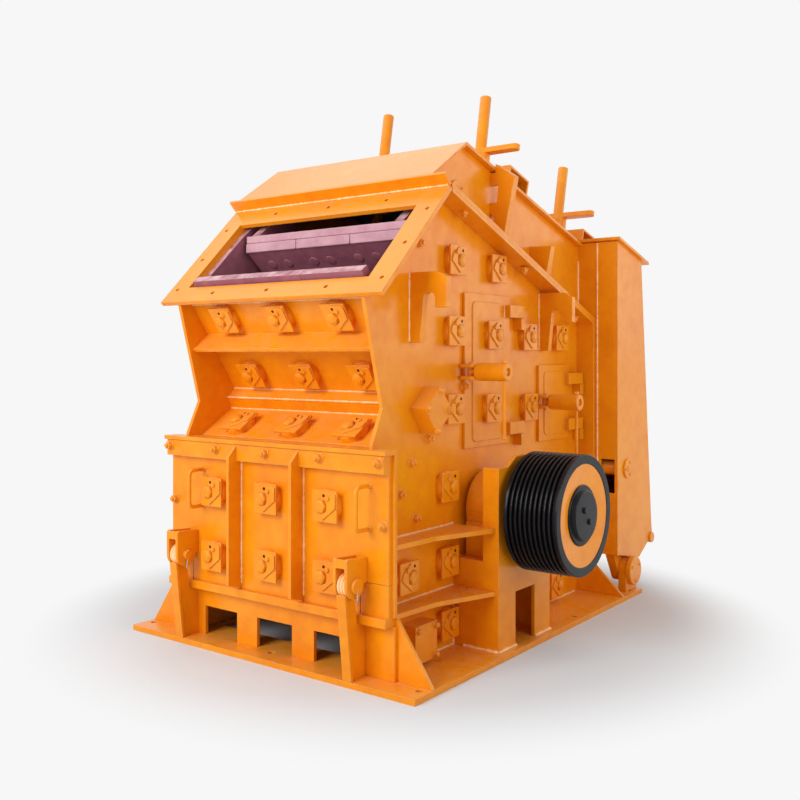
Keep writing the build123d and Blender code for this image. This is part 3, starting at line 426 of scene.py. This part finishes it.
# A lock plate holds each liner bolt: a round boss, a square plate over it, a bent tab and a large nut.
# The same plate is on the side walls, the feed wall, the front door and the front side doors.
lock_boss = 78
lock_half = 75
lock_tab = ((0, 68), (-15, 40), (19, 21), (19, -21), (-15, -40), (-8, -66), (71, -5), (71, 60), (50, 68))
wall_tab = ((0, 68), (-15, 40), (19, 21), (19, -21), (-15, -40), (-8, -66), (68, -4), (58, 24))


def facing(spot, out, across):
    """A place on a surface: its third direction points out of it, and its first runs across it."""
    out = Vector(out).normalized()
    across = Vector(across).normalized()
    turn = Matrix((across, out.cross(across), out)).transposed().to_4x4()
    return Matrix.Translation(spot) @ turn


def slab(shape, place, outline, low, high):
    """A plate with its outline across a place, between two heights over it."""
    under = [shape.verts.new(place @ Vector((a, b, low))) for a, b in outline]
    over = [shape.verts.new(place @ Vector((a, b, high))) for a, b in outline]
    shape.faces.new(list(reversed(under)))
    shape.faces.new(over)
    for step in range(len(outline)):
        following = (step + 1) % len(outline)
        shape.faces.new((under[step], under[following], over[following], over[step]))


def block(shape, low, high):
    """A square block between two corners."""
    outline = [(low[0], low[1]), (high[0], low[1]), (high[0], high[1]), (low[0], high[1])]
    slab(shape, Matrix.Identity(4), outline, low[2], high[2])


def drum(shape, place, profile, sides=32, closed=False):
    """A turned piece from pairs of radius and height. A closed profile is a ring."""
    rings = []
    turns = [math.tau * step / sides for step in range(sides)]
    for radius, height in profile:
        rings.append([shape.verts.new(place @ Vector((radius * math.cos(t), radius * math.sin(t), height)))
                      for t in turns])
    pairs = list(zip(rings, rings[1:] + rings[:1])) if closed else list(zip(rings, rings[1:]))
    for low, high in pairs:
        for step in range(sides):
            following = (step + 1) % sides
            shape.faces.new((low[step], low[following], high[following], high[step]))
    if not closed:
        shape.faces.new(list(reversed(rings[0])))
        shape.faces.new(rings[-1])


def hexagon(shape, place, flats, low, high):
    """A hexagon nut or head with its top corners turned off."""
    radius = flats / math.sqrt(3)
    drum(shape, place, [(radius, low), (radius, high - 0.12 * flats), (0.86 * radius, high)], 6)


def bolt_circle(shape, place, reach, first, flats, low, high):
    """Three hexagons on a circle about a place, the first at an angle in degrees."""
    for turn in (first, first + 120, first + 240):
        angle = math.radians(turn)
        spot = Matrix.Translation((reach * math.cos(angle), reach * math.sin(angle), 0))
        hexagon(shape, place @ spot, flats, low, high)


def in_metres(name, shape):
    """The mesh of a shape in millimetres, with its faces turned outwards."""
    bmesh.ops.recalc_face_normals(shape, faces=shape.faces[:])
    bmesh.ops.scale(shape, vec=(mm, mm, mm), verts=shape.verts[:])
    mesh = bpy.data.meshes.new(name)
    shape.to_mesh(mesh)
    shape.free()
    return mesh


def made(name, shape, material, body, bevel=0.0, replaces=()):
    """Turn a shape in millimetres into a piece of the scene."""
    mesh = in_metres(name, shape)
    mesh.materials.append(material)
    return placed(name, mesh, body, bevel, replaces)


def scatter_tree():
    tree, given, result = new_tree("scatter", [
        ("Template", "NodeSocketObject"), ("Material", "NodeSocketMaterial")])
    directions = [add(tree, "GeometryNodeInputNamedAttribute", {"Name": label}, data_type="FLOAT_VECTOR")
                  for label in ("outward", "across")]
    turn = add(tree, "FunctionNodeAxesToRotation", {
        "Primary Axis": directions[0].outputs["Attribute"],
        "Secondary Axis": directions[1].outputs["Attribute"]})
    template = add(tree, "GeometryNodeObjectInfo", {"Object": given["Template"]})
    copies = add(tree, "GeometryNodeInstanceOnPoints", {
        "Points": given["Geometry"], "Instance": template.outputs["Geometry"],
        "Rotation": turn.outputs["Rotation"]})
    real = add(tree, "GeometryNodeRealizeInstances", {"Geometry": copies.outputs["Instances"]})
    coated = add(tree, "GeometryNodeSetMaterial", {"Geometry": real.outputs["Geometry"],
                                                   "Material": given["Material"]})
    tree.links.new(coated.outputs["Geometry"], result["Geometry"])
    return tree


scatter = scatter_tree()


def template(name, shape):
    """A shape kept aside, in metres, to be set on many places."""
    return bpy.data.objects.new(name, in_metres(name, shape))


def scattered(name, pattern, places, material, body, bevel=0.0, replaces=()):
    """One mesh with a copy of a template on each place."""
    spots = bpy.data.meshes.new(name)
    spots.from_pydata([place.translation * mm for place in places], [], [])
    for label, column in (("outward", 2), ("across", 0)):
        directions = spots.attributes.new(label, "FLOAT_VECTOR", "POINT")
        for step, place in enumerate(places):
            directions.data[step].vector = place.col[column].to_3d()
    bpy.context.scene.collection.objects.link(pattern)
    mesh = grown(spots, scatter, {"Template": pattern, "Material": material})
    bpy.context.scene.collection.objects.unlink(pattern)
    placed(name, mesh, body, bevel, replaces)


def lock_plate_shape(side):
    """A lock plate, with its tab to the right, or to the left where side is -1."""
    shape = bmesh.new()
    level = Matrix.Identity(4)
    drum(shape, level, [(lock_boss, 0), (lock_boss, 26), (lock_boss - 4, 30)], 40)
    slab(shape, level, [(-lock_half, -lock_half), (lock_half, -lock_half), (lock_half, lock_half),
                        (-lock_half, lock_half)], 30, 42)
    tab = lock_tab if side > 0 else [(-a, b) for a, b in wall_tab]
    slab(shape, level, tab, 42.2, 50)
    nut = Matrix.Translation((side * -20, 0, 0))
    hexagon(shape, nut, 64, 42.2, 58)
    drum(shape, nut, [(24, 57), (23, 60), (16, 62)], 24)
    hexagon(shape, Matrix.Translation((side * 27, 39, 0)), 22, 50.2, 58)
    return shape


def lock_hole_shape(side):
    """A dark disc standing on the tapped hole in a lock plate: painted shade for the hole's depth."""
    shape = bmesh.new()
    over = 50 if side > 0 else 42
    spot = Matrix.Translation((3, 51, over) if side > 0 else (38, 50, over))
    drum(shape, spot, [(7.5, -0.5), (7.5, 0.6), (6.5, 1)], 16)
    return shape


# Painted shade: a dark brown disc for each tapped hole, which the lock plates don't cut.
painted_hole_shade = painted("painted_hole_shade", coat=0.0, level=0.1, Paint=srgb(60, 30, 12), Deep=srgb(40, 20, 10),
                    Rubbed=srgb(80, 44, 20), Dust_amount=0.0, Gloss=0.6)
lock_plates = {side: template("lock_plate", lock_plate_shape(side)) for side in (-1, 1)}
lock_holes = {side: template("lock_hole", lock_hole_shape(side)) for side in (-1, 1)}


def lock_set(name, side, places, body, replaces=()):
    """Lock plates of one hand on a list of places."""
    scattered(name, lock_plates[side], places, orange_enamel, body, 1.6, replaces)
    scattered(name + "_holes", lock_holes[side], places, painted_hole_shade, body)


def along(start, end, share):
    """A point on the way from one pair of numbers to another."""
    return tuple(a + (b - a) * share for a, b in zip(start, end))


wall_locks = (
    (-61, 1966), (-463, 1982), (-473, 1622), (281, 1602), (674, 1602), (-482, 1227), (293, 1203),
    (-536, 840), (-883, 448), (-536, 464), (-536, 153), (610, 126))
columns = (-388, 0, 388)
apron_toe = (-1030, 1068)
wall_places = [facing((wall, y, z), (1, 0, 0), (0, 1, 0)) for y, z in wall_locks]
left_places = [facing((-wall, y, z), (-1, 0, 0), (0, -1, 0)) for y, z in wall_locks]
chute_out = (0, -0.830, -0.557)
heel_out = (0, -0.524, 0.852)
feed_places = []
for x in columns:
    for share in (0.15, 0.79):
        spot = along(chute["top"], chute["foot"], share)
        feed_places.append(facing((x, *spot), chute_out, (1, 0, 0)))
    spot = along(chute["heel"], apron_toe, 0.62)
    feed_places.append(facing((x, *spot), heel_out, (1, 0, 0)))
door_places = [facing((x, door_face, z), (0, -1, 0), (1, 0, 0)) for x in columns for z in (794, 463)]
lock_set("right_wall_lock_plates", -1, wall_places, "housing", ["liner_lock_plates"])
lock_set("left_wall_lock_plates", 1, left_places, "housing")
lock_set("feed_wall_lock_plates", 1, feed_places, "housing")
lock_set("front_door_lock_plates", 1, door_places, "front_door", ["door_lock_plates"])

# Hexagon bolts hold the flanges, the door, the covers and the stops: a head or nut on a washer.
# Studs stand out of their nuts where plates of several thicknesses are drawn together.


def bolt_shape(flats, stud):
    """A washer, a hexagon and the end of its stud."""
    shape = bmesh.new()
    level = Matrix.Identity(4)
    drum(shape, level, [(0.62 * flats + 4, 0), (0.62 * flats + 4, 3), (0.62 * flats + 2, 4)], 24)
    hexagon(shape, level, flats, 4, 4 + 0.62 * flats)
    drum(shape, level, [(0.3 * flats, 3 + 0.6 * flats), (0.3 * flats, stud - 2), (0.3 * flats - 2, stud)], 14)
    return shape


large_bolt = template("large_bolt", bolt_shape(36, 38))
small_bolt = template("small_bolt", bolt_shape(26, 24))
right_studs = ((-908, 842), (-787, 714), (-820, 984), (-677, 1089), (-757, 2043), (-359, 1338))
stop_cover_bolts = ((-812, 1246), (-706, 1329), (-626, 1227), (-738, 1135))
low_cover_bolts = ((-889, 205), (-745, 205), (-745, 65), (-889, 65))
stop_cover_face = 731
low_cover_face = 725
door_head_face = -1162.3


def pair(spots, x):
    """Places on both side walls, facing outwards."""
    right = [facing((x, y, z), (1, 0, 0), (0, 1, 0)) for y, z in spots]
    return right + [facing((-x, y, z), (-1, 0, 0), (0, -1, 0)) for y, z in spots]


scattered("wall_studs", large_bolt, pair(right_studs, wall), orange_enamel, "housing")
cover_places = pair(stop_cover_bolts, stop_cover_face) + pair(low_cover_bolts, low_cover_face)
scattered("cover_bolts", small_bolt, cover_places, orange_enamel, "housing")
head_places = [facing((x, door_head_face, 1017), (0, -1, 0), (1, 0, 0)) for x in (-706, -354, 0, 354, 706)]
head_places += [facing((x, door_face, 729), (0, -1, 0), (1, 0, 0)) for x in (-706, 706)]
scattered("front_door_bolts", large_bolt, head_places, orange_enamel, "front_door")

# The belt pulley is a casting with ten V grooves, painted gloss black, on a web that is painted orange.
# Its black hub is keyed to the shaft, under a round cap with two bolts.
pulley_start = 950
pulley_width = 290
rim_radius = 302
shaft_line = (-190, 705)
black_gloss = painted("black_gloss", coat=0.08, level=0.14, Paint=srgb(20, 21, 26), Deep=srgb(12, 13, 16),
                      Dust=srgb(50, 52, 56), Rubbed=srgb(64, 68, 80), Dust_amount=0.1, Edge_amount=0.2,
                      Peel=0.12, Gloss=0.24)
pulley_place = facing((pulley_start, *shaft_line), (1, 0, 0), (0, 1, 0))
grooves = 10
groove_pitch = 26
groove_bottom = 283
land = 15


def pulley_profile():
    """The rim's section: ten grooves, then the face and the inside."""
    points = [(rim_radius - 4, 0), (rim_radius, 4)]
    for step in range(grooves):
        start = land + step * groove_pitch
        points += [(rim_radius, start + 3), (rim_radius - 1, start + 5), (groove_bottom, start + 10),
                   (groove_bottom, start + 16), (rim_radius - 1, start + 21), (rim_radius, start + 23)]
    return points + [(rim_radius, pulley_width - 4), (rim_radius - 4, pulley_width), (258, pulley_width),
                     (254, pulley_width - 4), (254, 0)]


rim = bmesh.new()
drum(rim, pulley_place, pulley_profile(), 128, closed=True)
made("drive_pulley_rim", rim, black_gloss, "rotor", replaces=["drive_pulley"])
web = bmesh.new()
web_profile = [(256, 264), (256, 287), (250, 287), (158, 274), (150, 273), (150, 250)]
drum(web, pulley_place, web_profile, 96, closed=True)
made("drive_pulley_web", web, orange_enamel, "rotor", 1.5)
hub = bmesh.new()
hub_profile = [(84, 20), (152, 20), (152, 277), (147, 282), (129, 283), (127, 294), (120, 301), (4, 303)]
drum(hub, pulley_place, hub_profile, 96)
for across, up in ((-25, 30), (28, -32)):
    hexagon(hub, pulley_place @ Matrix.Translation((across, up, 0)), 30, 302, 312)
made("drive_pulley_hub", hub, black_gloss, "rotor", 1.2, ["pulley_hub"])

# The front door drops on two pairs of ears about pins in the hinge posts.
# Grooved rings fill the gap between the ears, and a split pin hangs from each end.
hinge_x = 570
hinge_line = (-1208, 462)
ear_radius = 60


def arc(centre, radius, start, end, steps):
    """Points on an arc, in degrees."""
    turns = [math.radians(start + (end - start) * step / steps) for step in range(steps + 1)]
    return [(centre[0] + radius * math.cos(t), centre[1] + radius * math.sin(t)) for t in turns]


def tube(shape, points, radius, sides=14):
    """A round bar along a line of points, in millimetres."""
    rings = []
    side = None
    for step, point in enumerate(points):
        before = Vector(points[max(step - 1, 0)])
        after = Vector(points[min(step + 1, len(points) - 1)])
        run = (after - before).normalized()
        if side is None:
            side = run.orthogonal().normalized()
        side = (side - run * side.dot(run)).normalized()
        other = run.cross(side)
        turns = [math.tau * turn / sides for turn in range(sides)]
        rings.append([shape.verts.new(Vector(point) + radius * (math.cos(t) * side + math.sin(t) * other))
                      for t in turns])
    for low, high in zip(rings, rings[1:]):
        for step in range(sides):
            following = (step + 1) % sides
            shape.faces.new((low[step], low[following], high[following], high[step]))
    shape.faces.new(list(reversed(rings[0])))
    shape.faces.new(rings[-1])


def mirror_left(shape):
    """Add the mirror image on the left side."""
    copy = bmesh.ops.duplicate(shape, geom=shape.verts[:] + shape.edges[:] + shape.faces[:])
    corners = [part for part in copy["geom"] if isinstance(part, bmesh.types.BMVert)]
    bmesh.ops.scale(shape, vec=(-1, 1, 1), verts=corners)


upright = facing((0, 0, 0), (1, 0, 0), (0, 1, 0))
ears = bmesh.new()
ear_outline = [(door_face, 466), (door_face, 580), (hinge_line[0] - ear_radius + 8, 590),
               (hinge_line[0] - ear_radius, 582)]
ear_outline += arc(hinge_line, ear_radius, 180, 360, 20)
for low in (hinge_x - 42, hinge_x + 26):
    slab(ears, upright, ear_outline, low, low + 16)
ear_pin = facing((hinge_x - 62, *hinge_line), (1, 0, 0), (0, 1, 0))
ear_pin_profile = [(22, 0), (24, 3), (24, 16), (22, 19.5), (22, 104.5), (36, 105), (36, 117), (33, 121)]
drum(ears, ear_pin, ear_pin_profile, 32)
slab(ears, upright, [(-1268, 546), (-1254, 546), (-1254, 586), (-1268, 586)], hinge_x - 26, hinge_x + 26)
mirror_left(ears)
rings = bmesh.new()
ring_radius = 54
ring_profile = [(44, -25), (ring_radius, -24)]
for groove in (-8.5, 8.5):
    ring_profile += [(ring_radius, groove - 1.5), (47, groove - 0.5), (47, groove + 0.5),
                     (ring_radius, groove + 1.5)]
ring_profile += [(ring_radius, 24), (44, 25)]
drum(rings, facing((hinge_x, *hinge_line), (1, 0, 0), (0, 1, 0)), ring_profile, 40)
mirror_left(rings)
# The rings wear the pale peach paint: a painted highlight on them.
made("door_hinge_rings", rings, pale_highlight_enamel, "housing", 1.5)
made("front_door_ears", ears, orange_enamel, "front_door", 1.5, ["front_door_hinges"])
split_pins = bmesh.new()
for x in (hinge_x - 55, hinge_x + 55):
    tube(split_pins, [(x, -1206, 490), (x, -1207, 462), (x + 2, -1212, 424), (x + 3, -1216, 396)], 4, 8)
mirror_left(split_pins)
made("door_split_pins", split_pins, turned_steel, "front_door")

# Two round handles are welded to the front door, each bent from one bar.
# They are painted with the door.
handle_radius = 10
handle_bend = 27
handle_reach = 100
handles = bmesh.new()
for x, bottom, top in ((-486, 712, 903), (626, 709, 906)):
    out = door_face - handle_reach
    low_bend = arc((out + handle_bend, bottom + handle_bend), handle_bend, 270, 180, 6)
    high_bend = arc((out + handle_bend, top - handle_bend), handle_bend, 180, 90, 6)
    route = [(door_face, bottom), *low_bend, *high_bend, (door_face, top)]
    tube(handles, [(x, y, z) for y, z in route], handle_radius)
    for z in (bottom, top):
        drum(handles, facing((x, door_face, z), (0, -1, 0), (1, 0, 0)), [(17, 0), (15, 3), (10, 6)], 18)
made("front_door_grips", handles, orange_enamel, "front_door", replaces=["door_handles"])

# Four inspection doors close the side walls: a leaf with a pressed panel on two hinge blocks.
# A swing bolt with a long sleeve nut and a bar clamps each one, in a fork on its front edge.
leaf_face = 635.3
leaf_front = 651.3
side_doors = {
    "front": {"rear": 88, "width": 458, "low": 1014, "high": 1824, "line": 168, "clamp": (-372, 1414),
              "panel": (-300, -6, 1046, 1780), "locks": ((-119, 1607), (-140, 1218))},
    "rear": {"rear": 790, "width": 367, "low": 995, "high": 1440, "line": 900, "clamp": (427, 1230),
             "panel": (480, 745, 1030, 1400), "locks": ()},
}
sleeve_start = 731
sleeve_end = 913
fork_tip = 711
clamp_line = 690
bar_line = 889
bolt_eye = [(9, -4), (14, 0), (14, 6), (9, 6), (9, 92), (6, 98)]
sleeve_profile = [
    (14, clamp_line), (14, sleeve_start + 4), (46, sleeve_start + 4), (46, sleeve_end - 4), (42, sleeve_end),
    (22, sleeve_end), (20, sleeve_end - 3), (20, sleeve_end - 34), (13, sleeve_end - 34),
    (13, sleeve_end - 12), (10, sleeve_end - 9)]
bar_profile = [(13, 0), (14, 3), (14, 10), (9, 13), (9, 382), (15, 384), (15, 396), (12, 400)]


def rounded_outline(y0, y1, z0, z1, radius):
    """A rectangle in Y and Z with round corners."""
    corners = ((y1 - radius, z0 + radius, 270), (y1 - radius, z1 - radius, 0), (y0 + radius, z1 - radius, 90),
               (y0 + radius, z0 + radius, 180))
    outline = []
    for y, z, start in corners:
        outline += arc((y, z), radius, start, start + 90, 5)
    return outline


def side_door_shape(spec):
    """A side door of the right wall: leaf, panel, hinge blocks, fork, sleeve nut and bar."""
    shape = bmesh.new()
    front = spec["rear"] - spec["width"]
    leaf = rounded_outline(front, spec["rear"], spec["low"], spec["high"], 6)
    slab(shape, upright, leaf, leaf_face, leaf_front)
    slab(shape, upright, rounded_outline(*spec["panel"], 26), leaf_front - 1, leaf_front + 6)
    for z in (spec["low"] + 50, spec["high"] - 118):
        block(shape, (leaf_front - 1, spec["rear"] - 60, z), (690, spec["line"] + 19, z + 68))
    y, z = spec["clamp"]
    for side in (-1, 1):
        fork = [(leaf_front - 1, y - 40), (leaf_front - 1, y + 40), (fork_tip, y + 40)]
        fork += [(fork_tip + 20 * math.cos(t), y + 20 + 20 * math.sin(t)) for t in (1.2, 0.6, 0.0)]
        fork += [(fork_tip + 20 * math.cos(t), y - 20 + 20 * math.sin(t)) for t in (0.0, -0.6, -1.2)]
        fork += [(fork_tip, y - 40)]
        level = Matrix.Translation((0, 0, z + side * 31))
        slab(shape, level, fork, -9, 9)
    drum(shape, facing((clamp_line, y, z + 22), (0, 0, -1), (1, 0, 0)), [(17, 0), (17, 44)], 24)
    drum(shape, facing((clamp_line, y, z + 46), (0, 0, -1), (1, 0, 0)), bolt_eye, 18)
    drum(shape, facing((0, y, z), (1, 0, 0), (0, 1, 0)), sleeve_profile, 36)
    drum(shape, facing((bar_line, y, z - 338), (0, 0, 1), (1, 0, 0)), bar_profile, 20)
    return shape


for row, spec in side_doors.items():
    for side in ("right", "left"):
        body = f"side_door_{row}_{side}"
        shape = side_door_shape(spec)
        if side == "left":
            bmesh.ops.scale(shape, vec=(-1, 1, 1), verts=shape.verts[:])
        made(body + "_leaf", shape, orange_enamel, body, 1.5, [body])
        way = 1 if side == "right" else -1
        places = [facing((way * leaf_front, y, z), (way, 0, 0), (0, way, 0)) for y, z in spec["locks"]]
        if places:
            lock_set(body + "_lock_plates", -way, places, body)
        corner = (way * (leaf_front + 1), spec["rear"] - 62)
        seams = [[(*corner, z - 2), (*corner, z + 70)] for z in (spec["low"] + 50, spec["high"] - 118)]
        welded(body + "_seams", body, seams, 4)

# Long threaded rods hang the aprons from beams on the roofs, and set their gap from the rotor.
# Each rod has a round nut with a lever, drawn down on its beam.
rod_x = 362
rod_radius = 33
nut_radius = 58
lever_half = 28
lever_tip = 622
front_foot = (40, 1560)
front_top = (305, 3024)
rear_foot = (900, 1040)
rear_top = (1293, 2760)


def rod_shape(foot, top, seat, nut_height):
    """A pair of rods with a long nut and a lever each, from the foot's place in Y and Z to the top."""
    shape = bmesh.new()
    run = Vector((0, top[0] - foot[0], top[1] - foot[1]))
    length = run.length
    start = (seat - foot[1]) / run.normalized().z
    place = facing((rod_x, *foot), run, (1, 0, 0))
    rod = [(31, 0), (rod_radius, 3), (rod_radius, length - 6), (30, length - 1.5), (20, length)]
    nut_end = start + nut_height
    nut = [(56, start), (nut_radius, start + 3), (nut_radius, nut_end - 4), (53, nut_end)]
    drum(shape, place, rod, 32)
    drum(shape, place, nut, 40)
    round_start = lever_tip - rod_x - lever_half
    lever = [(-56, -lever_half), (round_start, -lever_half)]
    lever += arc((round_start, 0), lever_half, -90, 90, 10)[1:] + [(-56, lever_half)]
    slab(shape, place, lever, nut_end - 1, nut_end + 29)
    mirror_left(shape)
    return shape


made("front_apron_rods", rod_shape(front_foot, front_top, 2558, 118), orange_enamel, "front_apron",
     1.5, ["front_rods"])
made("rear_apron_rods", rod_shape(rear_foot, rear_top, 2314, 98), orange_enamel, "rear_apron",
     1.5, ["rear_rods"])

# Two heavy aprons hang on long pins in the rear frame, and wear the dark red primer of the liners.
# The front one carries cast strike plates on its nose, with a smooth bar over them.
# Sunk bolts hold its feed face.
strike_primer = painted("strike_primer", coat=0.05, Paint=srgb(206, 160, 170), Deep=srgb(174, 122, 134),
                        Dust=srgb(226, 190, 196), Rubbed=srgb(232, 190, 192), Dust_amount=0.8, Peel=1.0,
                        Gloss=0.55)
nose = (-740, 2068)
tip = (40, 1370)
apron_half = 556
apron_pivot = (-430, 2335)
rear_pivot = (540, 2020)
apron_pin = [(42, -635), (45, -632), (45, 632), (42, 635)]
strike = bmesh.new()
for x0, x1 in ((-556, -180), (-176, 197), (201, 556)):
    block(strike, (x0, nose[0] - 16, nose[1] + 2), (x1, nose[0] - 0.5, nose[1] + 52))
block(strike, (-apron_half, nose[0] - 11, nose[1] + 54), (apron_half, nose[0] - 0.5, nose[1] + 94))
made("front_apron_strike_plates", strike, strike_primer, "front_apron", 4)
apron = bmesh.new()
casting = [nose, (-740, 2164), (-610, 2166), (-480, 1983), (113, 1452), tip]
hanger = [(-738, 2120), (-738, 2164), (-470, 2372), (-392, 2310), (-470, 2000)]
front_seat = [(-20, 1500), (-12, 1575), (94, 1555), (86, 1440)]
slab(apron, upright, casting, -apron_half, apron_half)
for x in (-500, 500):
    slab(apron, upright, hanger, x - 28, x + 28)
for x in (-rod_x, rod_x):
    slab(apron, upright, front_seat, x - 50, x + 50)
drum(apron, facing((0, *apron_pivot), (1, 0, 0), (0, 1, 0)), apron_pin, 36)
made("front_apron_body", apron, liner_primer, "front_apron", 3, ["front_apron"])
rear_run = (0, rear_top[0] - rear_foot[0], rear_top[1] - rear_foot[1])
rear_apron = bmesh.new()
rear_casting = [(440, 1900), (460, 2040), (540, 2090), (620, 2040), (640, 1600), (700, 1150), (610, 880),
                (480, 900)]
rear_arm = [(640, 1100), (850, 1040), (880, 990), (610, 940)]
rear_seat = [(-50, -54), (50, -54), (50, 54), (-50, 54)]
slab(rear_apron, upright, rear_casting, -apron_half, apron_half)
for x in (-rod_x, rod_x):
    slab(rear_apron, upright, rear_arm, x - 30, x + 30)
    slab(rear_apron, facing((x, *rear_foot), rear_run, (1, 0, 0)), rear_seat, -60, 0)
drum(rear_apron, facing((0, *rear_pivot), (1, 0, 0), (0, 1, 0)), apron_pin, 36)
made("rear_apron_body", rear_apron, liner_primer, "rear_apron", 3, ["rear_apron"])
covers = bmesh.new()
for pivot in (apron_pivot, rear_pivot):
    place = facing((635.5, *pivot), (1, 0, 0), (0, 1, 0))
    drum(covers, place, [(62, 0), (62, 8), (59, 11), (28, 11), (25, 9)], 40)
    bolt_circle(covers, place, 46, 30, 10, 11, 17)
mirror_left(covers)
made("apron_pivot_covers", covers, orange_enamel, "rear_frame", 1)
feed_run = Vector((0, tip[0] - nose[0], tip[1] - nose[1])).normalized()
feed_out = (0, feed_run.z, -feed_run.y)
sunk_bolt = bmesh.new()
drum(sunk_bolt, Matrix.Identity(4), [(30, -1), (30, 1), (26, 3), (20, 4)], 24)
sunk_bolt = template("sunk_bolt", sunk_bolt)
bolt_places = [facing(Vector((x, *nose)) + feed_run * 95, feed_out, (1, 0, 0))
               for x in (-430, -310, -120, 0, 190, 310, 470)]
scattered("front_apron_bolts", sunk_bolt, bolt_places, liner_primer, "front_apron")

# The rear frame is bolted down on the split flange, and locked by a bar behind each box front.
# A keeper ring on the box side and a stub lower down hold the bar and its spare place.
box_side = 900
flange_places = [facing((side * 700, y, z), (0, -0.285, -0.9585), (1, 0, 0))
                 for side in (-1, 1) for y, z in ((-444, 2234), (171, 1984), (786, 1732))]
scattered("split_flange_bolts", large_bolt, flange_places, orange_enamel, "housing")
keeper = bmesh.new()
ring_place = facing((box_side, 1103, 791), (1, 0, 0), (0, 1, 0))
drum(keeper, ring_place, [(60, 0), (60, 9), (57, 12), (22, 12), (20, 14), (20, 16), (16, 18)], 40)
bolt_circle(keeper, ring_place, 42, 60, 16, 12, 19)
stub_place = facing((box_side, 1480, 306), (1, 0, 0), (0, 1, 0))
drum(keeper, stub_place, [(34, -40), (34, 10), (31, 13)], 28)
mirror_left(keeper)
made("rear_box_keepers", keeper, orange_enamel, "rear_frame", 1)
lock_bar = bmesh.new()
bar_place = facing((0, 1040, 800), (1, 0, 0), (0, 1, 0))
drum(lock_bar, bar_place, [(45, 640), (45, 855), (40, 866), (28, 872)], 36)
mirror_left(lock_bar)
made("rear_box_lock_bars", lock_bar, orange_enamel, "rear_frame")

# The rear frame tips on two large pins, each in a lug of thick plate with a round end.
# A cap with three bolts keeps the pin in.
rear_hinge = (1150, 150)
lug_radius = 80
cap_face = 939
lugs = bmesh.new()
lug_outline = [(rear_hinge[0] + lug_radius, 28), *arc(rear_hinge, lug_radius, 0, 180, 24),
               (rear_hinge[0] - lug_radius, 28)]
slab(lugs, upright, lug_outline, 857, 907)
lug_place = facing((0, *rear_hinge), (1, 0, 0), (0, 1, 0))
drum(lugs, lug_place, [(88, 907), (88, 935), (84, cap_face)], 48)
bolt_circle(lugs, lug_place, 62, 30, 18, cap_face - 1, cap_face + 7)
mirror_left(lugs)
made("rear_hinge_lug_plates", lugs, orange_enamel, "housing", 1.5, ["rear_hinge_lugs"])
